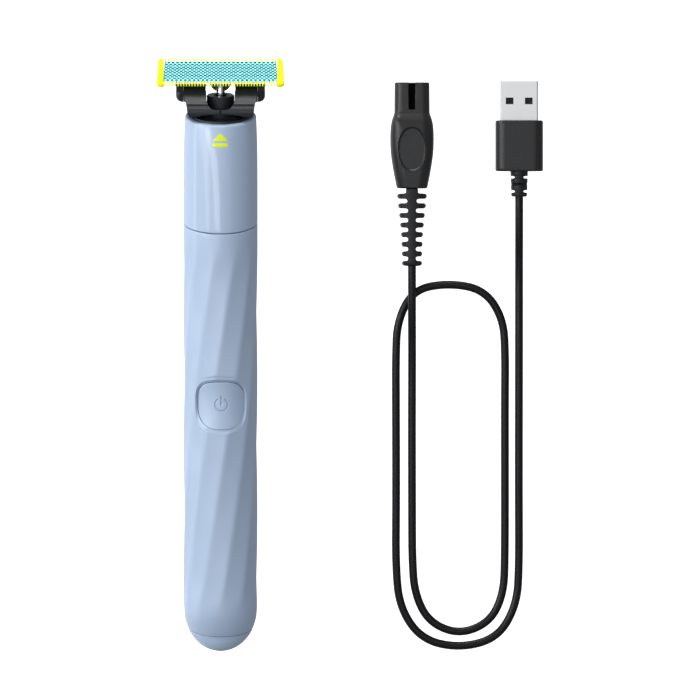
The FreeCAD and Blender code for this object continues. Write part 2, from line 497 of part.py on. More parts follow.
keep("hinge_pins", Part.makeCompound([cyl_x(HINGE_Y, Z0 + hz, HINGE_PIN_R, 8.7, 13.2), cyl_x(HINGE_Y, Z0 + hz, HINGE_PIN_R, -13.2, -8.7)]))

# leaf springs on the back of the yoke's arms
springs = []
for sx in (-1, 1):
    x0, x1 = (6.2, 8.0) if sx > 0 else (-8.0, -6.2)
    springs.append(prism_x([(80.2, -5.42), (82.4, -3.10), (84.6, -3.30), (86.2, -2.9), (86.2, -2.65), (84.6, -3.0), (82.5, -2.86), (80.3, -5.2)], x0, x1))
leafs = [s.cut(yoke) for s in springs]
keep("tilt_springs", Part.makeCompound([one(s) for s in leafs]))

# carriage that carries the cutter and straddles the drive shaft
pad = tilted(lbox(-3.5, 3.5, -2.3, 1.6, -1.15, -0.62))
prongs = [tilted(lbox(1.12, 2.6, -2.3, 1.4, -4.25, -1.15)), tilted(lbox(-2.6, -1.12, -2.3, 1.4, -4.25, -1.15))]
disc = cyl_z(0, 87.15, 3.5, Z0 - 0.95, Z0 + 0.10).common(box(-4, 4, 83, 87.15, Z0 - 1, Z0 + 1))
slab = box(-2.6, 2.6, 87.0, 88.7, Z0 - 0.95, Z0 + 0.10)
bridge = box(1.12, 2.6, 85.3, 88.7, Z0 - 0.95, Z0 + 1.9)
bridge2 = box(-2.6, -1.12, 85.3, 88.7, Z0 - 0.95, Z0 + 1.9)
carriage = pad.fuse([prongs[0], prongs[1], disc, slab, bridge, bridge2]).removeSplitter()
keep("cutter_carriage", one(carriage))

# ---------------------------------------------------------------- charging lead
PX, PZ = PLUG_X, PLUG_Z


def stadium_wire(cx, y, cz, w, h, r):
    x0, x1, z0, z1 = cx - w / 2.0, cx + w / 2.0, cz - h / 2.0, cz + h / 2.0
    k = r * (1 - math.sqrt(0.5))
    e = [Part.LineSegment(V(x0 + r, y, z0), V(x1 - r, y, z0)).toShape(),
         Part.Arc(V(x1 - r, y, z0), V(x1 - k, y, z0 + k), V(x1, y, z0 + r)).toShape(),
         Part.LineSegment(V(x1, y, z0 + r), V(x1, y, z1 - r)).toShape(),
         Part.Arc(V(x1, y, z1 - r), V(x1 - k, y, z1 - k), V(x1 - r, y, z1)).toShape(),
         Part.LineSegment(V(x1 - r, y, z1), V(x0 + r, y, z1)).toShape(),
         Part.Arc(V(x0 + r, y, z1), V(x0 + k, y, z1 - k), V(x0, y, z1 - r)).toShape(),
         Part.LineSegment(V(x0, y, z1 - r), V(x0, y, z0 + r)).toShape(),
         Part.Arc(V(x0, y, z0 + r), V(x0 + k, y, z0 + k), V(x0 + r, y, z0)).toShape()]
    return Part.Wire(e)


plug_sections = [(52.95, 9.7, 8.4, 3.2), (58.0, 11.6, 9.3, 3.4), (64.0, 13.5, 9.6, 3.6), (69.0, 13.9, 9.6, 3.6), (72.5, 13.6, 9.4, 3.5), (75.0, 12.4, 8.6, 3.2)]
plug = Part.makeLoft([stadium_wire(PX, y, PZ, w, h, r) for y, w, h, r in plug_sections], True, True)
shoulder = Part.makeLoft([stadium_wire(PX, y, PZ, w, h, r) for y, w, h, r in [(75.0, 12.4, 8.6, 3.2), (77.0, 10.84, 6.3, 2.6)]], True, True)
end_part = Part.makeLoft([stadium_wire(PX, y, PZ, w, h, r) for y, w, h, r in [(77.0, 10.84, 6.3, 2.6), (86.3, 10.84, 6.3, 2.6)]], True, True)
end_tip = Part.makeLoft([stadium_wire(PX, y, PZ, w, h, r) for y, w, h, r in [(86.3, 10.84, 6.3, 2.6), (86.75, 10.1, 5.6, 2.3)]], True, True)
plug = plug.fuse([shoulder, end_part, end_tip]).removeSplitter()
plug = plug.cut(box(PX - 1.03, PX + 1.03, 79.0, 86.1, PZ + 1.6, PZ + 4).fuse(cyl_z(PX, 79.03, 1.03, PZ + 1.6, PZ + 4)))
oval_pts = [(PX + 4.45 * math.copysign(abs(math.cos(t)) ** 0.85, math.cos(t)), 65.6 + 6.9 * math.copysign(abs(math.sin(t)) ** 0.85, math.sin(t)))
            for t in [2 * math.pi * i / 24 for i in range(24)]]
obs = Part.BSplineCurve()
obs.interpolate([V(x, y, PZ + 4.3) for x, y in oval_pts], PeriodicFlag=True)
plug = plug.cut(Part.Face(Part.Wire([obs.toShape()])).extrude(V(0, 0, 3)))
for sx in (-1, 1):
    plug = plug.cut(cyl_y(PX + sx * PIN_SPACING / 2, PZ, 1.2, 80.4, 90))
keep("device_plug", one(plug))
keep("plug_contacts", Part.makeCompound([cyl_y(PX + sx * PIN_SPACING / 2, PZ, 1.2, 80.4, 86.4).cut(cyl_y(PX + sx * PIN_SPACING / 2, PZ, 0.80, 80.9, 90)) for sx in (-1, 1)]))

# a tapering sleeve, slotted from both sides down to a web along its middle
RIB, GAP = 1.70, 1.36
y0 = 51.35
RELIEF_END_Y = y0 - 8 * RIB - 7 * GAP
relief = revolve_y([(0, RELIEF_END_Y), (2.75, RELIEF_END_Y), (3.2, RELIEF_END_Y + 0.45), (3.25, 35.0), (3.75, 42.0), (4.55, y0), (4.60, 52.95), (0, 52.95)], PX, PZ)
cores = [1.92, 1.51, 1.28, 1.25, 1.25, 1.25, 1.25, 1.25]
slots = []
for i, core in enumerate(cores):
    yb = y0 - i * (RIB + GAP)
    for sx in (-1, 1):
        xa, xb = (PX + core + GAP / 2, PX + 8) if sx > 0 else (PX - 8, PX - core - GAP / 2)
        slots += [box(xa, xb, yb, yb + GAP, -1, 12), cyl_z(PX + sx * (core + GAP / 2), yb + GAP / 2, GAP / 2, -1, 12)]
relief = relief.cut(slots[0].fuse(slots[1:]))
keep("device_strain_relief", one(relief))

usb_body = box(USB_X - 7.6, USB_X + 7.6, 58.4, 74.65, 0.0, 8.0)
usb_body = usb_body.makeFillet(2.8, [e for e in usb_body.Edges if abs(e.Vertexes[0].Y - e.Vertexes[-1].Y) > 5])
usb_body = usb_body.cut(box(USB_X - 6.0, USB_X + 6.0, 68.6, 80, USB_Z - 2.25, USB_Z + 2.25))
keep("usb_overmold", one(usb_body))
shell = box(USB_X - 6.0, USB_X + 6.0, 68.6, 87.15, USB_Z - 2.25, USB_Z + 2.25)
shell = shell.makeFillet(0.45, [e for e in shell.Edges if abs(e.Vertexes[0].Y - e.Vertexes[-1].Y) > 5])
shell = shell.cut(box(USB_X - 5.7, USB_X + 5.7, 68.9, 88, USB_Z - 1.95, USB_Z + 1.95))
for sx in (-1, 1):
    shell = shell.cut(box(USB_X + sx * 3.05 - 1.22, USB_X + sx * 3.05 + 1.22, 79.78, 81.88, -1, 10))
# small pressed arc on its upper face
arc = cyl_z(USB_X - 0.03, 76.06, 0.95, USB_Z + 2.13, USB_Z + 3).cut(cyl_z(USB_X - 0.03, 76.06, 0.70, USB_Z + 2, USB_Z + 3))
arc = arc.cut(prism_z([(USB_X - 0.03, 76.06), (USB_X - 1.2, 74.6), (USB_X + 1.1, 74.6)], USB_Z + 2, USB_Z + 3))
shell = shell.cut(arc)
keep("usb_shell", one(shell))
keep("usb_tongue", box(USB_X - 5.65, USB_X + 5.65, 68.95, 86.4, USB_Z - 1.93, USB_Z - 0.05))
contacts = []
for cx in (-3.5, -1.0, 1.0, 3.5):
    contacts.append(box(USB_X + cx - 0.5, USB_X + cx + 0.5, 82.3, 86.2, USB_Z - 0.05, USB_Z + 0.12))
keep("usb_contacts", Part.makeCompound(contacts))
# a tapering sleeve with notches cut in turn from its sides and from its faces
sleeve = revolve_y([(0, 50.33), (2.30, 50.33), (2.52, 50.60), (2.80, 58.4), (0, 58.4)], USB_X, USB_Z)
for ya, yb in ((56.15, 56.87), (51.65, 52.37)):
    sleeve = sleeve.cut(box(USB_X + 1.40, USB_X + 4, ya, yb, -1, 9).fuse(box(USB_X - 4, USB_X - 1.40, ya, yb, -1, 9)))
sleeve = sleeve.cut(box(USB_X - 4, USB_X + 4, 54.0, 54.62, USB_Z + 1.40, 9).fuse(box(USB_X - 4, USB_X + 4, 54.0, 54.62, -1, USB_Z - 1.40)))
keep("usb_strain_relief", one(sleeve))

# route of the cord: its middle line, as corners
ROUTE = [(60.92, 28.10, 4.80), (60.92, 14.50, 4.80), (60.97, 0.50, 1.30), (60.90, -24.00, 1.30), (60.95, -50.00, 1.30),
         (61.00, -65.20, 1.30), (61.79, -76.09, 1.30), (66.25, -85.17, 1.30), (76.01, -89.14, 1.30), (85.83, -85.11, 1.30),
         (90.17, -75.89, 1.30), (90.52, -63.20, 1.30), (90.53, -39.73, 1.30), (90.51, -14.37, 1.30), (90.64, -0.61, 1.30),
         (90.04, 11.44, 1.30), (83.93, 20.72, 1.30), (72.66, 22.83, 1.30), (61.38, 20.77, 1.30), (56.22, 10.70, 1.30),
         (55.76, -1.16, 1.30), (55.82, -17.00, 1.30), (55.89, -45.44, 1.30), (55.72, -67.61, 1.30), (57.06, -80.67, 1.30),
         (64.00, -90.73, 1.30), (76.14, -93.43, 1.30), (88.23, -90.23, 1.30), (94.32, -79.59, 1.30), (95.07, -66.83, 1.30),
         (94.95, -42.73, 1.30), (95.01, -8.13, 1.30), (95.03, 15.20, 1.30), (95.02, 27.70, 1.30), (95.05, 39.30, 4.00),
         (95.05, 50.33, 4.00)]
ROUTE[0] = (60.92, round(RELIEF_END_Y, 3), 4.80)
pv = [V(*p) for p in ROUTE]
edges = []
start = pv[0]
radii = []
length = 0.0
for i in range(1, len(pv) - 1):
    a = (pv[i] - pv[i - 1])
    b = (pv[i + 1] - pv[i])
    la, lb = a.Length, b.Length
    a.normalize()
    b.normalize()
    turn = math.acos(max(-1.0, min(1.0, a.dot(b))))
    cut_len = 0.45 * min(la, lb)
    r = cut_len / math.tan(turn / 2.0)
    radii.append(r)
    t1 = pv[i] - a * cut_len
    t2 = pv[i] + b * cut_len
    mid_dir = (b - a)
    mid_dir.normalize()
    sag = r * (1.0 / math.cos(turn / 2.0) - 1.0)
    pm = pv[i] + mid_dir * sag
    if (t1 - start).Length > 1e-6:
        edges.append(Part.LineSegment(start, t1).toShape())
        length += (t1 - start).Length
    edges.append(Part.Arc(t1, pm, t2).toShape())
    length += r * turn
    start = t2
edges.append(Part.LineSegment(start, pv[-1]).toShape())
length += (pv[-1] - start).Length
path = Part.Wire(edges)
d0 = pv[1] - pv[0]
circ = Part.Wire([Part.Circle(pv[0], d0, CORD_D / 2.0).toShape()])
cord = path.makePipeShell([circ], True, False)
if not isinstance(cord, Part.Solid):
    cord = Part.Solid(cord) if cord.ShapeType == "Shell" else cord.Solids[0]
print("cord radii", " ".join("%.1f" % r for r in radii))
print("cord length %.2f, volume %.2f, section times length %.2f, valid %s" % (length, cord.Volume, math.pi * (CORD_D / 2) ** 2 * length, cord.isValid()))
keep("charging_cord", cord)

# ---------------------------------------------------------------- write one file per piece
os.makedirs("parts", exist_ok=True)
for old in os.listdir("parts"):
    if old.endswith(".step"):
        os.remove(os.path.join("parts", old))
for name in sorted(parts):
    s = parts[name]
    bb = s.BoundBox
    print("%-22s %-9s valid=%s solids=%d vol=%9.2f  x %.2f..%.2f y %.2f..%.2f z %.2f..%.2f" % (
        name, s.ShapeType, s.isValid(), len(s.Solids), s.Volume, bb.XMin, bb.XMax, bb.YMin, bb.YMax, bb.ZMin, bb.ZMax))
    s.exportStep("parts/%s.step" % name)
print(len(parts), "pieces")
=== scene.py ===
import bmesh
import bpy
import json
import math
import numpy as np
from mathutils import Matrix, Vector


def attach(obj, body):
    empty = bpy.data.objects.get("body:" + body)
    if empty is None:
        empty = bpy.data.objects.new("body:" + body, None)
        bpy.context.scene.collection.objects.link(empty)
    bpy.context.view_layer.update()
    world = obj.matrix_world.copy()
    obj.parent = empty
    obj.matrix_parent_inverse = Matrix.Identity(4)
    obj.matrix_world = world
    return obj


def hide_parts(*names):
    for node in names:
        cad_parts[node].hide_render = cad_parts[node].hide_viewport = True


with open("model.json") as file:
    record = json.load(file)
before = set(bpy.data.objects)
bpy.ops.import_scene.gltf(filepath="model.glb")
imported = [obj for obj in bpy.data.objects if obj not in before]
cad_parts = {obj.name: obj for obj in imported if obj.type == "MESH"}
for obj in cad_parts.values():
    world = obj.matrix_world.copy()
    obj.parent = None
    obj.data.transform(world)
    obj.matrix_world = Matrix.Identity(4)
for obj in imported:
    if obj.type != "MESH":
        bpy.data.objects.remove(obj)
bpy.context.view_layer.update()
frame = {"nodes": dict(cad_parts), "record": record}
nodes = frame["nodes"]
scene = bpy.context.scene

# Lengths below are in millimetres, in the part's own frame, until a mesh is written.
MM = 0.001
AZ = 11.93          # height of the handle's axis
PI = math.pi


# ================================================================ camera, light, floor
cam = bpy.data.cameras.new("camera")
cam.sensor_width = 36.0
cam.lens = 36.0 * 9.0 / 0.22301
cam.clip_start, cam.clip_end = 0.05, 60.0
cam_obj = bpy.data.objects.new("camera", cam)
cam_obj.location = (0.04119, 0.00151, 9.0)
scene.collection.objects.link(cam_obj)
scene.camera = cam_obj

scene.view_settings.view_transform = "Standard"
scene.view_settings.look = "None"
scene.view_settings.exposure = 0.0
scene.view_settings.gamma = 1.0

world = bpy.data.worlds.new("studio")
world.use_nodes = True
world.node_tree.nodes["Background"].inputs["Color"].default_value = (0.95, 0.97, 1.0, 1.0)
# dim all round, with a soft bright panel straight overhead
wt = world.node_tree.nodes.new("ShaderNodeTexCoord")
ws = world.node_tree.nodes.new("ShaderNodeSeparateXYZ")
wr = world.node_tree.nodes.new("ShaderNodeMapRange")
wr.interpolation_type = "SMOOTHSTEP"
wr.inputs["From Min"].default_value = 0.80
wr.inputs["From Max"].default_value = 0.96
wr.inputs["To Min"].default_value = 0.34
wr.inputs["To Max"].default_value = 0.86
world.node_tree.links.new(wt.outputs["Generated"], ws.inputs["Vector"])
world.node_tree.links.new(ws.outputs["Z"], wr.inputs["Value"])
# and light coming back from a white table on the left
wd = world.node_tree.nodes.new("ShaderNodeVectorMath")
wd.operation = "DOT_PRODUCT"
wd.inputs[1].default_value = (-0.75, 0.0, -0.66)
wb = world.node_tree.nodes.new("ShaderNodeMapRange")
wb.interpolation_type = "SMOOTHSTEP"
wb.inputs["From Min"].default_value = 0.50
wb.inputs["From Max"].default_value = 0.95
wb.inputs["To Min"].default_value = 0.0
wb.inputs["To Max"].default_value = 0.80
wa = world.node_tree.nodes.new("ShaderNodeMath")
wa.operation = "ADD"
world.node_tree.links.new(wt.outputs["Generated"], wd.inputs[0])
world.node_tree.links.new(wd.outputs["Value"], wb.inputs["Value"])
world.node_tree.links.new(wr.outputs["Result"], wa.inputs[0])
world.node_tree.links.new(wb.outputs["Result"], wa.inputs[1])
world.node_tree.links.new(wa.outputs["Value"], world.node_tree.nodes["Background"].inputs["Strength"])
scene.world = world


def area_light(name, where, target, size_x, size_y, power, color=(1, 1, 1)):
    l = bpy.data.lights.new(name, "AREA")
    l.shape = "RECTANGLE"
    l.size, l.size_y = size_x, size_y
    l.energy = power
    l.color = color
    o = bpy.data.objects.new(name, l)
    o.location = where
    d = Vector(target) - Vector(where)
    o.rotation_euler = d.to_track_quat("-Z", "Y").to_euler()
    scene.collection.objects.link(o)
    o.visible_camera = False
    return o


area_light("key_left", (-0.85, 0.30, 0.62), (0.03, 0.0, 0.01), 0.45, 0.85, 4.5)
area_light("rim_left", (-0.95, 0.10, 0.06), (0.0, 0.0, 0.012), 1.2, 0.10, 1.6)
area_light("strip_left", (-0.36, 0.10, 0.66), (0.0, 0.02, 0.01), 0.05, 0.80, 1.0)
area_light("fill_top", (0.10, 0.85, 0.75), (0.04, 0.0, 0.01), 0.7, 0.4, 0.8)
area_light("edge_top", (-0.30, 1.05, 0.24), (0.03, 0.0, 0.012), 1.0, 0.22, 7.0)

floor_mesh = bpy.data.meshes.new("floor")
floor_mesh.from_pydata([(-3, -3, -0.0003), (3, -3, -0.0003), (3, 3, -0.0003), (-3, 3, -0.0003)], [], [(0, 1, 2, 3)])
floor = bpy.data.objects.new("floor", floor_mesh)
scene.collection.objects.link(floor)
fm = bpy.data.materials.new("floor_white")
fm.use_nodes = True
fb = fm.node_tree.nodes["Principled BSDF"]
fb.inputs["Base Color"].default_value = (0.97, 0.97, 0.97, 1)
fb.inputs["Roughness"].default_value = 0.9
fb.inputs["Specular IOR Level"].default_value = 0.0
fb.inputs["Emission Color"].default_value = (1, 1, 1, 1)
fb.inputs["Emission Strength"].default_value = 1.1
floor_mesh.materials.append(fm)
floor.visible_diffuse = False
floor.visible_glossy = False


# ================================================================ materials
def material(name, base, rough=0.4, metallic=0.0, vary=0.03, scale=300.0, rough_vary=0.05, bump=0.05, bump_scale=3500.0,
             bump_depth=0.00002, coat=0.0, coat_rough=0.2, stretch=(1, 1, 1), spec=0.5, aniso=0.0, sheen=0.0, sss=0.0, painted_glow=0.0):
    m = bpy.data.materials.new(name)
    m.use_nodes = True
    nt = m.node_tree
    b = nt.nodes["Principled BSDF"]
    b.inputs["Metallic"].default_value = metallic
    b.inputs["Specular IOR Level"].default_value = spec
    b.inputs["Coat Weight"].default_value = coat
    b.inputs["Coat Roughness"].default_value = coat_rough
    b.inputs["Anisotropic"].default_value = aniso
    b.inputs["Sheen Weight"].default_value = sheen
    if painted_glow > 0:                       # painted light: the part glows in its own colour, brighter than the lamps make it
        b.inputs["Emission Color"].default_value = (*base, 1)
        b.inputs["Emission Strength"].default_value = painted_glow
    if sss > 0:
        b.inputs["Subsurface Weight"].default_value = sss
        b.inputs["Subsurface Radius"].default_value = (0.0012, 0.0010, 0.0006)
        b.inputs["Subsurface Scale"].default_value = 1.0
    tc = nt.nodes.new("ShaderNodeTexCoord")
    mp = nt.nodes.new("ShaderNodeMapping")
    mp.inputs["Scale"].default_value = stretch
    nt.links.new(tc.outputs["Object"], mp.inputs["Vector"])

    def noise(sc, detail, rough_n=0.55):
        n = nt.nodes.new("ShaderNodeTexNoise")
        n.inputs["Scale"].default_value = sc
        n.inputs["Detail"].default_value = detail
        n.inputs["Roughness"].default_value = rough_n
        nt.links.new(mp.outputs["Vector"], n.inputs["Vector"])
        return n

    n1 = noise(scale, 3.0)
    ramp = nt.nodes.new("ShaderNodeValToRGB")
    lo = [max(0.0, c * (1 - vary)) for c in base]
    hi = [min(1.0, c * (1 + vary)) for c in base]
    ramp.color_ramp.elements[0].position = 0.30
    ramp.color_ramp.elements[1].position = 0.70
    ramp.color_ramp.elements[0].color = (*lo, 1)
    ramp.color_ramp.elements[1].color = (*hi, 1)
    nt.links.new(n1.outputs["Fac"], ramp.inputs["Fac"])
    nt.links.new(ramp.outputs["Color"], b.inputs["Base Color"])
    n2 = noise(scale * 2.7, 4.0)
    mr = nt.nodes.new("ShaderNodeMapRange")
    mr.inputs["From Min"].default_value = 0.25
    mr.inputs["From Max"].default_value = 0.75
    mr.inputs["To Min"].default_value = max(0.02, rough - rough_vary)
    mr.inputs["To Max"].default_value = min(1.0, rough + rough_vary)
    nt.links.new(n2.outputs["Fac"], mr.inputs["Value"])
    nt.links.new(mr.outputs["Result"], b.inputs["Roughness"])
    if bump > 0:
        n3 = noise(bump_scale, 2.0, 0.6)
        bp = nt.nodes.new("ShaderNodeBump")
        bp.inputs["Strength"].default_value = bump
        bp.inputs["Distance"].default_value = bump_depth
        nt.links.new(n3.outputs["Fac"], bp.inputs["Height"])
        nt.links.new(bp.outputs["Normal"], b.inputs["Normal"])
    return m


def srgb(r, g, b):
    def f(c):
        c = c / 255.0
        return c / 12.92 if c <= 0.04045 else ((c + 0.055) / 1.055) ** 2.4
    return (f(r), f(g), f(b))


M = {
    "shell_blue": material("satin_blue", srgb(168, 187, 212), rough=0.34, vary=0.012, scale=140, bump=0.10, bump_scale=2600, coat=0.12, coat_rough=0.16, spec=0.42),
    # the eject mark's lime glows a little: painted light
    "mark_lime": material("mark_lime", srgb(214, 232, 12), rough=0.45, vary=0.02, painted_glow=0.08),
    "black_plastic": material("black_plastic", srgb(33, 37, 41), rough=0.36, spec=0.34, vary=0.08, scale=500, bump=0.25, bump_scale=4200),
    "seal_rubber": material("seal_rubber", srgb(70, 72, 76), rough=0.75, vary=0.08),
    "chassis_grey": material("chassis_grey", srgb(150, 152, 156), rough=0.5, vary=0.04),
    "screw_steel": material("screw_steel", (0.62, 0.62, 0.64), rough=0.3, metallic=1.0),
    "battery_can": material("battery_sleeve", srgb(60, 120, 70), rough=0.3, vary=0.06, coat=0.4),
    "nickel_strip": material("nickel_strip", (0.66, 0.63, 0.58), rough=0.32, metallic=1.0, stretch=(1, 8, 1)),
    "board_green": material("board_green", srgb(18, 92, 52), rough=0.35, vary=0.2, scale=900, coat=0.5),
    "switch_plastic": material("switch_plastic", srgb(40, 40, 42), rough=0.5),
    "chip_black": material("chip_black", srgb(28, 28, 30), rough=0.55, vary=0.1),
    "contact_brass": material("contact_gold", (0.86, 0.66, 0.30), rough=0.22, metallic=1.0),
    "motor_steel": material("motor_zinc", (0.60, 0.62, 0.63), rough=0.38, metallic=1.0, stretch=(1, 6, 1)),
    "magnet_iron": material("magnet_ferrite", srgb(72, 70, 68), rough=0.7, vary=0.12),
    "shaft_steel": material("ground_steel", (0.64, 0.65, 0.68), rough=0.16, metallic=1.0, rough_vary=0.04, stretch=(1, 7, 1)),
    "lever_white": material("lever_acetal", srgb(225, 224, 218), rough=0.4, vary=0.03, sss=0.1),
    # the comb's lime glows: painted light that keeps it as bright as a strongly lit part
    "comb_lime": material("comb_lime", srgb(240, 248, 16), rough=0.42, vary=0.02, bump=0.08, spec=0.14, painted_glow=0.22),
    # the cyan plate glows: painted light that brightens its lands
    "mesh_teal": material("mesh_cyan", srgb(160, 250, 255), rough=0.40, painted_glow=0.30, vary=0.05, scale=700, spec=0.12),
    "cutter_steel": material("cutter_steel", (0.30, 0.31, 0.33), rough=0.3, metallic=1.0, stretch=(8, 1, 1)),
    "plug_black": material("plug_black", srgb(33, 33, 34), rough=0.31, spec=0.38, vary=0.06, scale=600, bump=0.25, bump_scale=4200),
    "relief_black": material("relief_black", srgb(30, 30, 32), rough=0.38, spec=0.26, vary=0.06, scale=600, bump=0.2, bump_scale=4200),
    "cord_black": material("cord_jacket", srgb(15, 15, 18), rough=0.30, spec=0.22, vary=0.08, scale=500, bump=0.15, bump_scale=3000),
    "usb_steel": material("usb_tinned_steel", (0.74, 0.74, 0.74), rough=0.42, rough_vary=0.02, metallic=0.75, vary=0.012, bump=0.02, stretch=(1, 6, 1)),
}
M_UPPER = material("satin_blue_upper", srgb(168, 187, 212), rough=0.32, vary=0.008, scale=140, bump=0.04, bump_scale=2600, coat=0.36, coat_rough=0.06, spec=0.36)
# dark teal painted shade: floors and walls of the guard's holes, and the strips next to the end caps
M_HOLE_SHADE = material("mesh_teal_painted_hole_shade", srgb(0, 74, 96), rough=0.6, vary=0.08, spec=0.05)
# pale, glowing lime for the teeth's roots: a painted highlight
M_NECK_HIGHLIGHT = material("comb_root_painted_highlight", srgb(252, 254, 150), rough=0.45, spec=0.12, painted_glow=0.15)
# near-black: painted shade for the floor of the plug's key slot
M_SLOT_SHADE = material("key_slot_painted_shade", srgb(4, 4, 5), rough=0.7, vary=0.05, spec=0.03, bump=0.0)
# darker steel: painted shade for the USB shell's sides
M_STEEL_SIDE_SHADE = material("usb_steel_painted_side_shade", (0.42, 0.42, 0.43), rough=0.5, metallic=0.3, vary=0.03, spec=0.3, bump=0.02)

slot_of = {}
for entry in frame["record"].get("subparts", []):
    if entry.get("node") and entry.get("material_slot"):
        slot_of[entry["node"]] = entry["material_slot"]
print("slots named for", len(slot_of), "of", len(nodes), "nodes")


def dress(obj, mat):
    obj.data.materials.clear()
    obj.data.materials.append(mat)


for name, obj in nodes.items():
    slot = slot_of.get(name)
    if slot in M:
        dress(obj, M[slot])


def bevel(name, width, angle=32.0, segments=2):
    o = nodes[name]
    o.data.polygons.foreach_set("use_smooth", [True] * len(o.data.polygons))
    o.data.set_sharp_from_angle(angle=math.radians(angle))
    b = o.modifiers.new("edge", "BEVEL")
    b.width = width * MM
    b.segments = segments
    b.limit_method = "ANGLE"
    b.angle_limit = math.radians(angle)
    b.use_clamp_overlap = True
    b.harden_normals = False
    b.miter_outer = "MITER_ARC"
    return o


# ================================================================ mesh helpers
def make(name, verts, faces, mats, body, replaces=(), angle=35.0, index=None, normals=None, recalc=True):
    me = bpy.data.meshes.new(name)
    me.from_pydata([(float(v[0]) * MM, float(v[1]) * MM, float(v[2]) * MM) for v in verts], [], [list(map(int, f)) for f in faces])
    if index is not None:
        me.polygons.foreach_set("material_index", index)
    if recalc:
        bm = bmesh.new()
        bm.from_mesh(me)
        bmesh.ops.recalc_face_normals(bm, faces=bm.faces)
        bm.to_mesh(me)
        bm.free()
    me.polygons.foreach_set("use_smooth", [True] * len(me.polygons))
    me.set_sharp_from_angle(angle=math.radians(angle))
    if normals is not None:
        me.normals_split_custom_set_from_vertices([tuple(map(float, n)) for n in normals])
    me.update()
    o = bpy.data.objects.new(name, me)
    scene.collection.objects.link(o)
    for m in (mats if isinstance(mats, (list, tuple)) else [mats]):
        me.materials.append(m)
    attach(o, body)
    if replaces:
        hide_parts(*replaces)
    return o


def grid_faces(nr, nc, wrap_r=False, wrap_c=True, base=0):
    f = []
    for i in range(nr if wrap_r else nr - 1):
        for j in range(nc if wrap_c else nc - 1):
            i2, j2 = (i + 1) % nr, (j + 1) % nc
            f.append((base + i * nc + j, base + i * nc + j2, base + i2 * nc + j2, base + i2 * nc + j))
    return f


def loft(rows, cap=True, base=0):
    """rows: list of equal loops of points; ends closed with one face each"""
    nr, nc = len(rows), len(rows[0])
    verts = [p for r in rows for p in r]
    faces = grid_faces(nr, nc, base=base)
    if cap:
        faces.append(tuple(base + j for j in range(nc))[::-1])
        faces.append(tuple(base + (nr - 1) * nc + j for j in range(nc)))
    return verts, faces


def smooth01(t):
    t = np.clip(t, 0.0, 1.0)
    return t * t * (3 - 2 * t)


def catmull(points, per=12):
    p = np.array(points, float)
    out = []
    for i in range(1, len(p) - 2):
        p0, p1, p2, p3 = p[i - 1], p[i], p[i + 1], p[i + 2]
        t0 = 0.0
        t1 = t0 + max(1e-6, np.linalg.norm(p1 - p0)) ** 0.5
        t2 = t1 + max(1e-6, np.linalg.norm(p2 - p1)) ** 0.5
        t3 = t2 + max(1e-6, np.linalg.norm(p3 - p2)) ** 0.5
        for k in range(per):
            t = t1 + (t2 - t1) * k / per
            a1 = (t1 - t) / (t1 - t0) * p0 + (t - t0) / (t1 - t0) * p1
            a2 = (t2 - t) / (t2 - t1) * p1 + (t - t1) / (t2 - t1) * p2
            a3 = (t3 - t) / (t3 - t2) * p2 + (t - t2) / (t3 - t2) * p3
            b1 = (t2 - t) / (t2 - t0) * a1 + (t - t0) / (t2 - t0) * a2
            b2 = (t3 - t) / (t3 - t1) * a2 + (t - t1) / (t3 - t1) * a3
            out.append((t2 - t) / (t2 - t1) * b1 + (t - t1) / (t2 - t1) * b2)
    out.append(p[-2])
    return np.array(out)


def lathe(profile, cx, cz, n=64, axis_y=True):
    """closed solid from (radius, y) points, first and last on the axis"""
    verts, faces = [], []
    rings = []
    for r, y in profile:
        if r < 1e-6:
            rings.append([len(verts)])
            verts.append((cx, y, cz))
        else:
            rings.append(list(range(len(verts), len(verts) + n)))
            for k in range(n):
                a = 2 * PI * k / n
                verts.append((cx + r * math.sin(a), y, cz + r * math.cos(a)))
    for a, b in zip(rings, rings[1:]):
        for k in range(n):
            k2 = (k + 1) % n
            if len(a) == 1 and len(b) > 1:
                faces.append((a[0], b[k], b[k2]))
            elif len(b) == 1 and len(a) > 1:
                faces.append((a[k], a[k2], b[0]))
            elif len(a) > 1:
                faces.append((a[k], a[k2], b[k2], b[k]))
    return verts, faces


def round_profile(points, r=0.25, seg=4):
    """rounds the inner corners of a polyline of (radius, y)"""
    pts = [np.array(p, float) for p in points]
    out = [tuple(pts[0])]
    for i in range(1, len(pts) - 1):
        a, b, c = pts[i - 1], pts[i], pts[i + 1]
        u, v = a - b, c - b
        lu, lv = np.linalg.norm(u), np.linalg.norm(v)
        k = min(r, 0.42 * lu, 0.42 * lv)
        p1, p2 = b + u / lu * k, b + v / lv * k
        for s in range(seg + 1):
            t = s / seg
            out.append(tuple((1 - t) ** 2 * p1 + 2 * t * (1 - t) * b + t * t * p2))
    out.append(tuple(pts[-1]))
    return out


# ================================================================ outer form of the handle
FACETS, TWIST, TWIST0 = 11, 0.776, -2.1
STEP = 2 * PI / FACETS
FLAT, SLOPE = 11.44, 0.315
CAP_SEAM, PARTING, RIM = -87.1, 42.05, 76.2
CREST_P = 48.0


def strength(y):
    return smooth01((37.5 - y) / 14.0) * smooth01((y + 84.0) / 10.0)


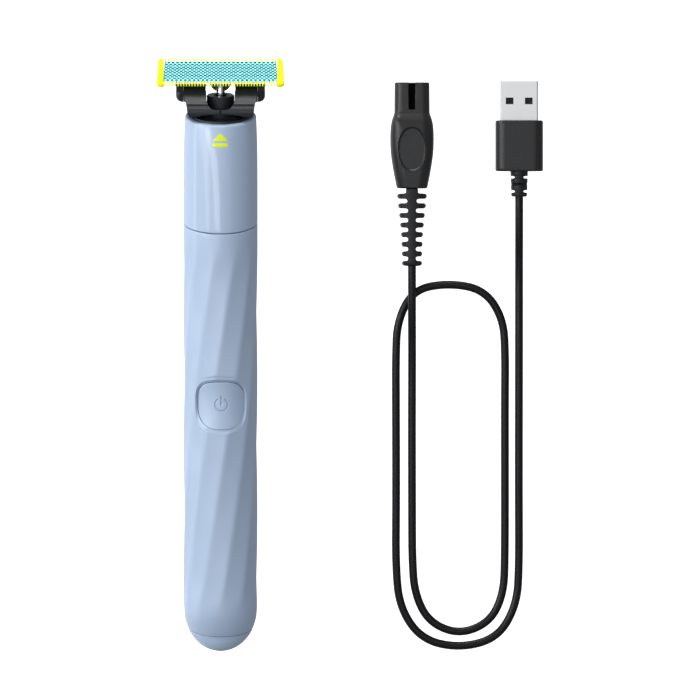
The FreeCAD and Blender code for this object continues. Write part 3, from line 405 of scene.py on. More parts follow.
# profile of the lower casing: (radius, y), from the tip up, measured along its line
_tip = [(-3.8, -93.5), (-1.5, -94.12), (0.0, -94.26), (1.5, -94.12), (3.8, -93.5), (5.75, -92.5), (7.05, -91.5), (8.8, -89.6), (9.95, -87.7),
        (10.72, -85.8), (11.25, -84.0), (11.56, -82.0), (11.76, -79.0), (11.80, -75.0), (11.80, -70.0), (11.80, -60.0)]
_dome = catmull(_tip[1:], 16)
_dome = np.array([p for p in _dome if p[1] <= -70.0 and p[0] >= 0])
_line = np.vstack([_dome, [[11.80, y] for y in np.arange(-69.0, 60.1, 1.0)]])
_sig = np.concatenate([[0], np.cumsum(np.linalg.norm(np.diff(_line, axis=0), axis=1))])


def prof(s):
    return np.interp(s, _sig, _line[:, 0]), np.interp(s, _sig, _line[:, 1])


def prof_normal(s):
    e = 0.15
    r0, y0 = prof(s - e)
    r1, y1 = prof(s + e)
    tr, ty = r1 - r0, y1 - y0
    ln = np.hypot(tr, ty)
    return ty / ln, -tr / ln


def facet_add(phi, y):
    a = phi - np.radians(TWIST0 + TWIST * y)
    th = a - (np.floor(a / STEP) + 0.5) * STEP
    c = [np.maximum(1e-9, np.cos(th + d)) / FLAT for d in (0.0, -STEP, STEP)]
    m = np.maximum(np.maximum(c[0], c[1]), c[2])
    rp = 1.0 / (m * ((c[0] / m) ** CREST_P + (c[1] / m) ** CREST_P + (c[2] / m) ** CREST_P) ** (1.0 / CREST_P))
    return strength(y) * (rp - 11.80)


def body_point(phi, s, inset=0.0, facets=1.0):
    r, y = prof(s)
    nr, ny = prof_normal(s)
    r2 = r - inset * nr + facets * facet_add(phi, y)
    y2 = y - inset * ny
    return np.stack([r2 * np.sin(phi), y2 * np.ones_like(r2), AZ + r2 * np.cos(phi)], -1)


def body_normal(phi, s):
    d = 0.002
    a = body_point(phi + d, s) - body_point(phi - d, s)
    b = body_point(phi, s + 0.03) - body_point(phi, s - 0.03)
    n = np.cross(a, b)
    n = n / np.linalg.norm(n, axis=-1, keepdims=True)
    out = np.stack([np.sin(phi), 0 * phi, np.cos(phi)], -1)
    return n * np.sign((n * out).sum(-1, keepdims=True))


def seam_sigma(phi_fn, y0):
    """where the lower casing's line meets a sloping seam; phi_fn gives the column's angle at a height y"""
    s = np.full_like(phi_fn(np.zeros(1)), np.interp(y0, _line[:, 1], _sig))
    lo, hi = np.zeros_like(s), np.full_like(s, _sig[-1])
    for _ in range(46):
        mid = 0.5 * (lo + hi)
        r, y = prof(mid)
        f = y - (y0 - SLOPE * r * np.cos(phi_fn(y)))
        hi = np.where(f > 0, mid, hi)
        lo = np.where(f > 0, lo, mid)
    return 0.5 * (lo + hi)


def body_z(x, y):
    """height of the faceted casing over a point near the front"""
    x, y = np.asarray(x, float), np.asarray(y, float)
    r = np.full_like(x, 11.7)
    for _ in range(5):
        phi = np.arcsin(np.clip(x / r, -1, 1))
        r = 11.80 + facet_add(phi, y)
    return AZ + np.sqrt(np.maximum(r * r - x * x, 0.01))


# ---------------------------------------------------------------- the button's outline
BX, BY, BHW, BUP, BDN = 0.16, -14.9, 7.32, 6.15, 8.95


def outline(t, grow=0.0):
    c, s = np.cos(t), np.sin(t)
    e = np.where(s > 0, 2 / 3.4, 2 / 2.6)
    g = grow
    a = BHW + g
    b = np.where(s > 0, BUP, BDN) + g
    return BX + a * np.sign(c) * np.abs(c) ** e, BY + b * np.sign(s) * np.abs(s) ** e


def inside_outline(x, y, grow):
    a = BHW + grow
    b = np.where(y > BY, BUP, BDN) + grow
    p = np.where(y > BY, 3.4, 2.6)
    return (np.abs((x - BX) / a) ** p + np.abs((y - BY) / b) ** p) < 1.0


def tight(t):
    """1 along the button's lower and right edges, where it meets the casing closely, 0 elsewhere"""
    return smooth01((0.55 * np.cos(t) - 0.95 * np.sin(t) + 0.05) / 0.45)


def even_t(n, grow=0.0):
    tt = np.linspace(0, 2 * PI, 4001)
    x, y = outline(tt, grow)
    d = np.concatenate([[0], np.cumsum(np.hypot(np.diff(x), np.diff(y)))])
    return np.interp(np.arange(n) * d[-1] / n, d, tt)


# ================================================================ body shell
offs = np.radians(np.array([0, .42, .95, 1.65, 2.7, 4.3, 7.0, 11.0, 16.36, 21.7, 25.7, 28.4, 30.0, 31.07, 31.77, 32.30]))
col0 = np.concatenate([k * STEP + offs for k in range(FACETS)]) + math.radians(TWIST0)


def col_phi(y):
    return col0 + np.radians(TWIST) * y


def build_body_shell():
    sa = seam_sigma(col_phi, CAP_SEAM)
    sb = seam_sigma(col_phi, PARTING)
    rim = [(0.50, 0.0), (0.38, 0.008), (0.27, 0.035), (0.17, 0.10), (0.115, 0.20), (0.10, 0.34), (0.10, 1.0)]
    rows = []
    for e, i in reversed(rim):
        rows.append((sa + e, i, 1.0 if i < 0.5 else 0.0))
    n = 132
    for k in range(1, n):
        f = k / n
        rows.append((sa + 0.50 + (sb - sa - 1.00) * f, 0.0, 1.0))
    for e, i in rim:
        rows.append((sb - e, i, 1.0 if i < 0.5 else 0.0))
    n_outer = len(rows)
    for k in range(0, 41):
        f = k / 40.0
        rows.append((sb - 0.06 - (sb - sa - 0.12) * f, 1.9, 0.0))
    P, N = [], []
    for ri, (s, inset, fac) in enumerate(rows):
        r, y = prof(s)
        phi = col_phi(y)
        P.append(body_point(phi, s, inset, fac))
        if len(rim) <= ri < n_outer - len(rim):
            N.append(body_normal(phi, s))
        else:
            N.append(np.zeros((len(phi), 3)))
    P, N = np.array(P), np.array(N)
    nr, nc = P.shape[:2]
    bm = bmesh.new()
    vs = [bm.verts.new(p) for p in P.reshape(-1, 3)]
    normal_of = {}
    flatN = N.reshape(-1, 3)
    front = P[..., 2] > AZ
    hole_o = front & inside_outline(P[..., 0], P[..., 1], 1.75)
    hole_i = front & inside_outline(P[..., 0], P[..., 1], 0.55)
    hole_o[n_outer:] = False
    hole_i[:n_outer] = False
    hole = hole_o | hole_i
    for i in range(nr):
        for j in range(nc):
            i2, j2 = (i + 1) % nr, (j + 1) % nc
            if hole[i, j] or hole[i2, j] or hole[i, j2] or hole[i2, j2]:
                continue
            bm.faces.new((vs[i * nc + j], vs[i * nc + j2], vs[i2 * nc + j2], vs[i2 * nc + j]))
    for k, v in enumerate(vs):
        normal_of[v] = flatN[k]
    for v in [v for v in vs if not v.link_faces]:
        del normal_of[v]
        bm.verts.remove(v)
    bm.verts.index_update()
    open_edges = [e for e in bm.edges if len(e.link_faces) == 1]
    outer_edges = [e for e in open_edges if min(math.hypot(v.co.x, v.co.z - AZ) for v in e.verts) > 10.6]
    inner_edges = [e for e in open_edges if max(math.hypot(v.co.x, v.co.z - AZ) for v in e.verts) < 10.6]
    # ring of the recess, from the casing's face down to the gap round the button
    n = 168
    tt = even_t(n)
    down = smooth01(-np.sin(tt) * 1.15 - 0.05)
    width = 0.80 + 0.55 * down
    r_in = 10.95 + 0.38 * down
    gap = 0.15 - 0.115 * tight(tt)
    ring_rows = []
    for grow, m in [(width + 0.50, 0.0), (width + 0.22, 0.0), (width + 0.06, 0.02), (width - 0.05, 0.08)]:
        x, y = outline(tt, grow)
        z = body_z(x, y) - m * 0.9 * 0.35
        ring_rows.append(np.stack([x, y, z], -1))
    for q in (0.25, 0.42, 0.60, 0.78, 0.93):
        g = 0.24 + (width - 0.24) * (1 - q)
        x, y = outline(tt, g)
        m = 1 - (1 - q) ** 1.7
        zb = body_z(x, y)
        zi = AZ + np.sqrt(r_in ** 2 - x ** 2)
        ring_rows.append(np.stack([x, y, zb + (zi - zb) * m], -1))
    for g, dz in [(gap + 0.06, 0.01), (gap + 0.015, 0.05), (gap, 0.14), (gap, 0.6)]:
        x, y = outline(tt, g)
        ring_rows.append(np.stack([x, y, AZ + np.sqrt(r_in ** 2 - x ** 2) - dz], -1))
    x, y = outline(tt, gap)
    ring_rows.append(np.stack([x, y, AZ + np.sqrt(9.9 ** 2 - x ** 2)], -1))
    ring_vs = []
    for r in ring_rows:
        ring_vs.append([bm.verts.new(p) for p in r])
    for a, b in zip(ring_vs, ring_vs[1:]):
        for j in range(n):
            j2 = (j + 1) % n
            bm.faces.new((a[j], a[j2], b[j2], b[j]))
    for ri in (0, 1):
        for v in ring_vs[ri]:
            xx, yy = np.array([v.co.x]), np.array([v.co.y])
            e = 0.02
            zx = (body_z(xx + e, yy) - body_z(xx - e, yy))[0] / (2 * e)
            zy = (body_z(xx, yy + e) - body_z(xx, yy - e))[0] / (2 * e)
            nn = np.array([-zx, -zy, 1.0])
            normal_of[v] = nn / np.linalg.norm(nn)

    def loop_edges(loop):
        es = []
        for j in range(len(loop)):
            e = bm.edges.get((loop[j], loop[(j + 1) % len(loop)]))
            es.append(e)
        return es

    bmesh.ops.triangle_fill(bm, use_beauty=True, use_dissolve=False, edges=outer_edges + loop_edges(ring_vs[0]), normal=(0, 0, 1))
    bmesh.ops.triangle_fill(bm, use_beauty=True, use_dissolve=False, edges=inner_edges + loop_edges(ring_vs[-1]), normal=(0, 0, -1))
    bmesh.ops.recalc_face_normals(bm, faces=bm.faces)
    left = [e for e in bm.edges if len(e.link_faces) != 2]
    print("body shell: faces", len(bm.faces), "open edges", len(left))
    bm.verts.index_update()
    ns = [(0.0, 0.0, 0.0)] * len(bm.verts)
    for v, nn in normal_of.items():
        if v.is_valid:
            ns[v.index] = tuple(nn)
    for v in bm.verts:
        v.co *= MM
    me = bpy.data.meshes.new("casing_lower")
    bm.to_mesh(me)
    bm.free()
    me.polygons.foreach_set("use_smooth", [True] * len(me.polygons))
    me.set_sharp_from_angle(angle=math.radians(50))
    me.normals_split_custom_set_from_vertices(ns)
    me.materials.append(M["shell_blue"])
    o = bpy.data.objects.new("casing_lower", me)
    scene.collection.objects.link(o)
    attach(o, "handle")
    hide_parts("body_shell")
    return o


build_body_shell()


# ================================================================ end cap
LIP_Y = -91.35


def build_end_cap():
    n = 144
    phi = np.arange(n) * 2 * PI / n

    def const(y):
        return phi + 0 * y

    sa = seam_sigma(const, CAP_SEAM)
    d = np.stack([np.sin(phi), np.cos(phi)], -1)

    def oval(hw, hh):
        """radius of a flat oval, along each column"""
        lo, hi = np.zeros(n), np.full(n, 9.0)
        for _ in range(40):
            mid = 0.5 * (lo + hi)
            px, pz = np.abs(d[:, 0] * mid), np.abs(d[:, 1] * mid)
            dist = np.hypot(np.maximum(px - (hw - hh), 0), pz) - hh
            hi = np.where(dist > 0, mid, hi)
            lo = np.where(dist > 0, lo, mid)
        return 0.5 * (lo + hi)

    # socket opening: flat oval, its lip drawn in round the plug's way in
    rh, rw = oval(5.78, 3.40), oval(6.85, 4.40)
    sh, sw = [np.array([np.interp(r, _dome[:, 0], _sig[:len(_dome)]) for r in rr]) for rr in (rh, rw)]
    rim = [(0.50, 0.0), (0.38, 0.008), (0.27, 0.035), (0.17, 0.10), (0.115, 0.20), (0.10, 0.34), (0.10, 1.0)]
    rows = []
    for e, i in reversed(rim):
        rows.append(body_point(phi, sa - e, i, 0.0))
    k_out = 26
    for k in range(1, k_out):
        f = k / k_out
        rows.append(body_point(phi, sa - 0.50 + (sh + 0.30 - sa + 0.50) * f, 0.0, 0.0))
    first_surf, last_surf = len(rim), len(rim) + k_out - 1
    for e, i in [(0.30, 0.0), (0.18, 0.015), (0.08, 0.07), (0.02, 0.16), (0.0, 0.30)]:
        rows.append(body_point(phi, sh + e, i, 0.0))
    # towards the opening the dome's line carries on, so the lip rounds the end off
    for row in rows[len(rim):]:
        x, z = row[:, 0], row[:, 2] - AZ
        r = np.hypot(x, z)
        w = smooth01((r - rh) / (9.6 - rh))
        r_eff = np.minimum(r, np.hypot(x, z * w))
        row[:, 1] += np.where(r < 9.6, np.interp(r_eff, _dome[:, 0], _dome[:, 1]) - np.interp(r, _dome[:, 0], _dome[:, 1]), 0.0)
    # wall of the opening, straight along the axis, back along the inside of the lip and of the cap
    hole = rows[-1].copy()
    w = hole.copy()
    w[:, 1] = np.maximum(hole[:, 1] + 0.12, LIP_Y)
    rows.append(w)
    back = np.stack([rw * d[:, 0], np.maximum(w[:, 1], LIP_Y) + 0.02, AZ + rw * d[:, 1]], -1)
    rows.append(back)
    for k in range(1, 9):
        f = k / 8.0
        s_in = sw + 2.4 + (sa - 0.06 - sw - 2.4) * f
        rows.append(body_point(phi, s_in, 1.9, 0.0))
    P = np.array(rows)
    verts = P.reshape(-1, 3)
    faces = grid_faces(P.shape[0], n, wrap_r=True)
    N = np.zeros_like(P)
    for k in range(first_surf, last_surf):
        f = (k - first_surf + 1) / k_out
        N[k] = body_normal(phi, sa - 0.50 + (sh + 0.30 - sa + 0.50) * f)
    return make("casing_end", verts, faces, M["shell_blue"], "handle", ["end_cap"], angle=50)


build_end_cap()


# ================================================================ upper housing
_top = catmull([(11.8, 30.0), (11.8, 36.0), (11.8, 44.0), (11.8, 52.0), (11.79, 59.0), (11.72, 66.0), (11.54, 72.0), (11.38, 76.0), (11.2, 81.0), (11.0, 86.0)], 12)
_ty, _tr = _top[:, 1], _top[:, 0]


def top_r(y):
    return np.interp(y, _ty, _tr)


def build_upper():
    n = 160
    phi = np.arange(n) * 2 * PI / n
    ya = PARTING - SLOPE * 11.8 * np.cos(phi)
    yb = RIM - SLOPE * 11.36 * np.cos(phi)
    rows, surf = [], []

    def ring(y, r):
        rows.append(np.stack([r * np.sin(phi), y + 0 * phi, AZ + r * np.cos(phi)], -1))
        surf.append(False)

    low = [(0.10, 1.0), (0.10, 0.34), (0.115, 0.20), (0.17, 0.10), (0.27, 0.035), (0.38, 0.008), (0.50, 0.0)]
    for e, i in low:
        ring(ya + e, top_r(ya + e) - i)
    k_out = 46
    for k in range(1, k_out):
        y = ya + 0.50 + (yb - 0.55 - ya - 0.50) * k / k_out
        ring(y, top_r(y))
        surf[-1] = True
    # rounded rim, its broad top and the bore
    def lip(r, e):
        ring(RIM - SLOPE * r * np.cos(phi) - e, r)

    for e, i in [(0.62, 0.0), (0.46, 0.010), (0.32, 0.045), (0.20, 0.11), (0.11, 0.20), (0.05, 0.31), (0.015, 0.45), (0.0, 0.62)]:
        lip(np.minimum(top_r(yb), 11.4) - i, e)
    for e, r in [(0.0, 9.80), (0.02, 9.62), (0.07, 9.48), (0.17, 9.38), (0.30, 9.35), (1.2, 9.35)]:
        lip(np.full(n, r), e)
    ring(np.full(n, 68.0), np.full(n, 9.35))
    ring(np.full(n, 66.4), np.full(n, 9.35))
    ring(np.full(n, 66.35), np.full(n, 9.90))
    for k in range(1, 14):
        ring(66.0 + (ya + 0.06 - 66.0) * k / 13.0, np.full(n, 9.90))
    P = np.array(rows)
    N = np.zeros_like(P)
    for k in range(len(rows)):
        if surf[k]:
            y = P[k, :, 1]
            dr = (top_r(y + 0.2) - top_r(y - 0.2)) / 0.4
            v = np.stack([np.sin(phi), -dr, np.cos(phi)], -1)
            N[k] = v / np.linalg.norm(v, axis=-1, keepdims=True)
    return make("casing_upper", P.reshape(-1, 3), grid_faces(P.shape[0], n, wrap_r=True), M_UPPER, "handle",
                ["upper_housing"], angle=50, normals=N.reshape(-1, 3))


build_upper()


# ---------------------------------------------------------------- eject mark, inlaid
def build_mark():
    verts, faces = [], []

    def patch(xs, y_low, y_high, k=7):
        nx = len(xs)
        base = len(verts)
        lay = []
        for top in (True, False):
            idx = []
            for i, x in enumerate(xs):
                for j in range(k):
                    t = j / (k - 1)
                    y = y_low(x) + (y_high(x) - y_low(x)) * t
                    edge = i in (0, nx - 1) or j in (0, k - 1)
                    r = top_r(y) + (0.035 if top and not edge else (0.0 if top else -0.35))
                    idx.append(len(verts))
                    verts.append((x, y, AZ + math.sqrt(r * r - x * x)))
            lay.append(idx)
        for i in range(nx - 1):
            for j in range(k - 1):
                a, b, c, d = i * k + j, (i + 1) * k + j, (i + 1) * k + j + 1, i * k + j + 1
                faces.append((lay[0][a], lay[0][b], lay[0][c], lay[0][d]))
                faces.append((lay[1][d], lay[1][c], lay[1][b], lay[1][a]))
        for i in range(nx - 1):
            for j in (0, k - 1):
                a, b = i * k + j, (i + 1) * k + j
                f = (lay[0][a], lay[1][a], lay[1][b], lay[0][b])
                faces.append(f if j == 0 else f[::-1])
        for j in range(k - 1):
            for i in (0, nx - 1):
                a, b = i * k + j, i * k + j + 1
                f = (lay[0][a], lay[0][b], lay[1][b], lay[1][a])
                faces.append(f if i == 0 else f[::-1])

    def spaced(h, n):
        m = np.linspace(-1, 1, n)
        return [float(h * (0.72 * v + 0.28 * v ** 3)) for v in m]

    def roof(x):
        a = abs(x)
        return 67.93 + 2.47 * (1 - a / 2.47) if a > 0.12 else 67.93 + 2.47 * (1 - 0.12 / 2.47)

    patch(spaced(2.42, 31), lambda x: 67.85 + 0.05 * (abs(x) / 2.42) ** 8, lambda x: max(roof(x), 67.85 + 0.12), 7)
    patch(spaced(2.45, 31), lambda x: 65.95 + 0.06 * (abs(x) / 2.45) ** 16, lambda x: 67.15 - 0.06 * (abs(x) / 2.45) ** 16, 7)
    return make("eject_inlay", verts, faces, M["mark_lime"], "handle", ["eject_mark"], angle=40)


build_mark()


# ================================================================ power button
def button_r(y):
    t = (np.asarray(y, float) + 14.6) / 7.5
    return np.minimum(10.86 + np.where(t > 0, 0.88, 0.40) * t * t, 11.44)


def build_button():
    n = 240
    cx, cy = 0.30, -15.95
    tt = np.linspace(0, 2 * PI, 4001)[:-1]
    ox, oy = outline(tt)
    ang = np.unwrap(np.arctan2(oy - cy, ox - cx))
    order = np.argsort(ang)
    a_sorted, t_sorted = ang[order], tt[order]
    want = a_sorted[0] + np.arange(n) * 2 * PI / n
    t_col = np.interp(want, np.concatenate([a_sorted, [a_sorted[0] + 2 * PI]]), np.concatenate([t_sorted, [t_sorted[0] + 2 * PI]]))

    def height(x, y):
        r = button_r(y)
        z = AZ + np.sqrt(np.maximum(r * r - x * x, 0.01))
        # engraved power symbol
        dx, dy = x - cx, y - cy
        rr = np.hypot(dx, dy)
        a = np.abs(np.arctan2(dx, dy))
        ring = np.abs(rr - 2.0) - 0.24
        gap = 0.52 - a
        end = np.where(gap > 0, rr * np.sin(np.clip(gap, 0, 1.5)), -1.0)
        ring = np.maximum(ring, np.where(gap > 0, end - 0.0, -1.0))
        stroke = np.hypot(dx, np.clip(np.abs(dy - 1.15) - 1.25, 0, None)) - 0.24
        sd = np.minimum(ring, stroke)
        return z - 0.30 * smooth01((0.10 - sd) / 0.24)

    rows = []
    inner = list(np.concatenate([np.linspace(0.03, 1.6, 20), np.linspace(1.66, 2.6, 20)]))
    for r in inner:
        x, y = cx + r * np.cos(want), cy + r * np.sin(want)
        rows.append(np.stack([x, y, height(x, y)], -1))
    x0, y0 = cx + 2.6 * np.cos(want), cy + 2.6 * np.sin(want)
    ease = 1 - 0.65 * tight(t_col)
    ex, ey = outline(t_col, -0.42 * ease)
    for k in range(1, 15):
        f = k / 14.0
        x, y = x0 + (ex - x0) * f, y0 + (ey - y0) * f
        rows.append(np.stack([x, y, height(x, y)], -1))
    for g, dz in [(-0.28, 0.012), (-0.17, 0.045), (-0.08, 0.10), (-0.03, 0.17), (0.0, 0.27), (0.0, 0.6), (0.0, 0.85)]:
        x, y = outline(t_col, g * ease)
        rows.append(np.stack([x, y, height(x, y) - (dz * ease if dz < 0.5 else dz)], -1))
    x, y = outline(t_col, 0.0)
    rows.append(np.stack([x, y, AZ + np.sqrt(9.95 ** 2 - x ** 2)], -1))
    for k in (0.75, 0.5, 0.25):
        x2, y2 = cx + (x - cx) * k, cy + (y - cy) * k
        rows.append(np.stack([x2, y2, AZ + np.sqrt(9.95 ** 2 - x2 ** 2)], -1))
    verts, faces = loft(rows)
    return make("button_cap", verts, faces, M["shell_blue"], "power_button", ["power_button"], angle=45)


build_button()


# ================================================================ blade head, in its tilted frame
TILT = math.radians(40.0)
HEAD = np.array([0.0, 90.12, AZ + 4.0])
VHAT = np.array([0.0, math.cos(TILT), -math.sin(TILT)])
NHAT = np.array([0.0, math.sin(TILT), math.cos(TILT)])


def head(u, v, n, fan=True):
    u = u * (1 - 0.0027 * v) if fan else u
    return tuple(HEAD + np.array([u, 0, 0]) + v * VHAT + n * NHAT)


def build_guard():
    verts, faces, index = [], [], []
    key = {}

    def vert(u, v, n):
        k = (round(u, 4), round(v, 4), round(n, 4))
        if k not in key:
            key[k] = len(verts)
            verts.append((u, v, n))
        return key[k]

    p = 36.0 / 26
    pitch = 0.576
    rows = [(3.634, 3.168, 4.10, True, 0.47, 0.36)]
    for i in range(11):
        v = 2.88 - pitch * i
        rows.append((v, v - pitch / 2, v + pitch / 2, i % 2 == 1, 0.505, 0.276))
    rows.append((-3.634, -4.10, -3.168, True, 0.47, 0.36))
    seg = 16
    boundary = []
    for v, v0, v1, even, a, b in rows:
        cells = []
        if even:
            cells = [(-18.0 + p / 2) + p / 2 + p * k for k in range(25)]
        else:
            cells = [-18.0 + p / 2 + p * k for k in range(26)]
        for uc in cells:
            outer = [vert(uc + p / 2, v, 0), vert(uc + p / 2, v1, 0), vert(uc, v1, 0), vert(uc - p / 2, v1, 0),
                     vert(uc - p / 2, v, 0), vert(uc - p / 2, v0, 0), vert(uc, v0, 0), vert(uc + p / 2, v0, 0)]
            rings = []
            for da, n in ((0.0, 0.0), (-0.035, -0.035), (-0.045, -0.16)):
                ring = []
                for s in range(seg):
                    t = 2 * PI * s / seg
                    c, sn = math.cos(t), math.sin(t)
                    e = 0.85
                    ring.append(vert(uc + (a + da) * math.copysign(abs(c) ** e, c), v + (b + da) * math.copysign(abs(sn) ** e, sn), n))
                rings.append(ring)
            for i in range(8):
                o1, o2 = outer[i], outer[(i + 1) % 8]
                r1, r2, r3 = rings[0][(2 * i) % seg], rings[0][(2 * i + 1) % seg], rings[0][(2 * i + 2) % seg]
                faces.append((o1, r2, r1))
                faces.append((o1, o2, r2))
                faces.append((o2, r3, r2))
                index += [0, 0, 0]
            # hole walls and floor take index 1, the dark teal painted shade
            for ra, rb in zip(rings, rings[1:]):
                for s in range(seg):
                    faces.append((ra[s], ra[(s + 1) % seg], rb[(s + 1) % seg], rb[s]))
                    index.append(1)
            faces.append(tuple(rings[-1]))
            index.append(1)
        if even:
            # the outermost strips beside the end caps take index 1, dark teal painted shade
            for s in (-1, 1):
                ua, um, ub = s * 18.0, s * (18.0 - 0.40), s * (18.0 - p / 2)
                faces.append((vert(ua, v0, 0), vert(um, v0, 0), vert(um, v, 0), vert(ua, v, 0)))
                faces.append((vert(ua, v, 0), vert(um, v, 0), vert(um, v1, 0), vert(ua, v1, 0)))
                faces.append((vert(um, v0, 0), vert(ub, v0, 0), vert(ub, v, 0), vert(um, v, 0)))
                faces.append((vert(um, v, 0), vert(ub, v, 0), vert(ub, v1, 0), vert(um, v1, 0)))
                index += [1, 1, 0, 0]
    # sides and back of the sheet
    bm = bmesh.new()
    bv = [bm.verts.new(x) for x in verts]
    for f, m in zip(faces, index):
        try:
            nf = bm.faces.new([bv[i] for i in f])
            nf.material_index = m
        except ValueError:
            pass
    bmesh.ops.recalc_face_normals(bm, faces=bm.faces)
    rim = [e for e in bm.edges if len(e.link_faces) == 1]
    ret = bmesh.ops.extrude_edge_only(bm, edges=rim)
    newv = [g for g in ret["geom"] if isinstance(g, bmesh.types.BMVert)]
    for v in newv:
        v.co.z -= 0.25
    rim2 = [e for e in bm.edges if len(e.link_faces) == 1]
    bmesh.ops.edgeloop_fill(bm, edges=rim2)
    left = [e for e in bm.edges if len(e.link_faces) != 2]
    print("guard: faces", len(bm.faces), "open edges", len(left))
    bmesh.ops.recalc_face_normals(bm, faces=bm.faces)
    bm.verts.index_update()
    vv = [head(v.co.x, v.co.y, v.co.z) for v in bm.verts]
    ff = [[v.index for v in f.verts] for f in bm.faces]
    mi = [f.material_index for f in bm.faces]
    bm.free()
    return make("guard_sheet", vv, ff, [M["mesh_teal"], M_HOLE_SHADE], "blade_head", ["guard_mesh"], angle=30, index=mi)


build_guard()


def sweep(path, half_w, half_t, u0, verts, faces, seg=8, widths=None):
    """round-edged bar along a path of (v, n) at one u"""
    pts = [np.array(p, float) for p in path]
    rings = []
    for i, p in enumerate(pts):
        a = pts[max(0, i - 1)]
        b = pts[min(len(pts) - 1, i + 1)]
        t = (b - a) / np.linalg.norm(b - a)
        nrm = np.array([-t[1], t[0]])
        w = half_w if widths is None else widths[i]
        ring = []
        for k in range(seg):
            q = 2 * PI * (k + 0.5) / seg
            c, s = math.cos(q), math.sin(q)
            du = w * math.copysign(abs(c) ** 0.6, c)
            dt = half_t * math.copysign(abs(s) ** 0.6, s)
            pv = p + nrm * dt
            ring.append(len(verts))
            verts.append(head(u0 + du, pv[0], pv[1]))
        rings.append(ring)
    for r1, r2 in zip(rings, rings[1:]):
        for k in range(seg):
            faces.append((r1[k], r1[(k + 1) % seg], r2[(k + 1) % seg], r2[k]))
    faces.append(tuple(rings[0])[::-1])
    faces.append(tuple(rings[-1]))


def build_comb():
    verts, faces, index = [], [], []
    pitch, count = 0.885, 41
    for i in range(count):
        u = (-(count - 1) / 2.0 + i) * pitch
        k0 = len(faces)
        # neck next to the sheet, standing for steel; its pale glowing colour is a painted highlight
        sweep([(3.95, -0.10), (4.62, -0.10)], 0.12, 0.10, u, verts, faces)
        sweep([(-3.95, -0.10), (-4.62, -0.10)], 0.15, 0.10, u, verts, faces)
        index += [1] * (len(faces) - k0)
        k0 = len(faces)
        up = [(4.55, -0.12), (4.95, -0.11), (5.24, -0.13), (5.36, -0.22), (5.42, -0.40), (5.42, -0.80), (5.40, -1.10), (5.28, -1.30), (5.0, -1.38), (4.2, -1.38), (3.6, -1.38)]
        sweep(up, 0.31, 0.16, u, verts, faces, widths=[0.20, 0.29] + [0.31] * 9)
        dn = [(-4.50, -0.12), (-4.95, -0.10), (-5.20, -0.13), (-5.34, -0.22), (-5.40, -0.40), (-5.38, -0.66), (-5.30, -0.92), (-5.16, -1.12), (-4.95, -1.22), (-4.2, -1.30), (-3.2, -1.36)]
        sweep(dn, 0.21, 0.15, u, verts, faces, widths=[0.17, 0.21] + [0.21] * 9)
        index += [0] * (len(faces) - k0)
    # base rails behind the sheet, and the end blocks under the caps
    k0 = len(faces)

    def bar(u0, u1, v0, v1, n0, n1, r=0.18):
        rows = []
        nz = 6
        for q, g in ((0.0, -r), (0.35, -r * 0.3), (1.0, 0.0), (1.0, 0.0), (0.35, -r * 0.3), (0.0, -r)):
            pass
        for n, g in ((n0, -r), (n0 + r * 0.3, -r * 0.3), (n0 + r, 0.0), (n1 - r, 0.0), (n1 - r * 0.3, -r * 0.3), (n1, -r)):
            loop = []
            for cu, cv, qa in ((u1, v1, 0), (u0, v1, 1), (u0, v0, 2), (u1, v0, 3)):
                su, sv = (1 if cu == u1 else -1), (1 if cv == v1 else -1)
                for s in range(3):
                    a = qa * PI / 2 + s * PI / 4
                    rr = max(0.02, r + g)
                    loop.append(head(cu - su * r + rr * math.cos(a), cv - sv * r + rr * math.sin(a), n))
            rows.append(loop)
        b = len(verts)
        v, f = loft(rows, base=b)
        verts.extend(v)
        faces.extend(f)

    bar(-18.0, 18.0, 3.25, 4.30, -1.5, -0.8)
    bar(-18.0, 18.0, -3.3, -2.62, -1.5, -0.8, r=0.15)
    bar(-18.0, -4.9, -2.6, 3.25, -1.5, -0.8)
    bar(4.9, 18.0, -2.6, 3.25, -1.5, -0.8)
    index += [0] * (len(faces) - k0)
    return make("comb_teeth", verts, faces, [M["comb_lime"], M_NECK_HIGHLIGHT], "blade_head", ["comb_frame"], angle=50, index=index)


build_comb()


def rounded_poly(pts, radii, inset, seg=6):
    """closed outline of a convex polygon with rounded corners, shrunk by inset"""
    n = len(pts)
    P = [np.array(p, float) for p in pts]
    area = sum(P[i][0] * P[(i + 1) % n][1] - P[(i + 1) % n][0] * P[i][1] for i in range(n))
    sgn = 1.0 if area > 0 else -1.0
    lines = []
    for i in range(n):
        a, b = P[i], P[(i + 1) % n]
        t = (b - a) / np.linalg.norm(b - a)
        inward = np.array([-t[1], t[0]]) * sgn
        lines.append((a + inward * inset, t))
    corners = []
    for i in range(n):
        (p, t), (q, s) = lines[i - 1], lines[i]
        m = np.array([[t[0], -s[0]], [t[1], -s[1]]])
        k = np.linalg.solve(m, q - p)
        corners.append(p + t * k[0])
    out = []
    for i in range(n):
        b = corners[i]
        t_in, t_out = lines[i - 1][1], lines[i][1]
        r = max(radii[i] - inset, 0.03)
        half = math.acos(max(-1, min(1, float(np.dot(t_in, t_out))))) / 2.0
        cut = r * math.tan(half)
        p1, p2 = b - t_in * cut, b + t_out * cut
        for s in range(seg + 1):
            q = s / seg
            w = math.cos(half)
            den = (1 - q) ** 2 + 2 * w * q * (1 - q) + q * q
            out.append(((1 - q) ** 2 * p1 + 2 * w * q * (1 - q) * b + q * q * p2) / den)
    return out


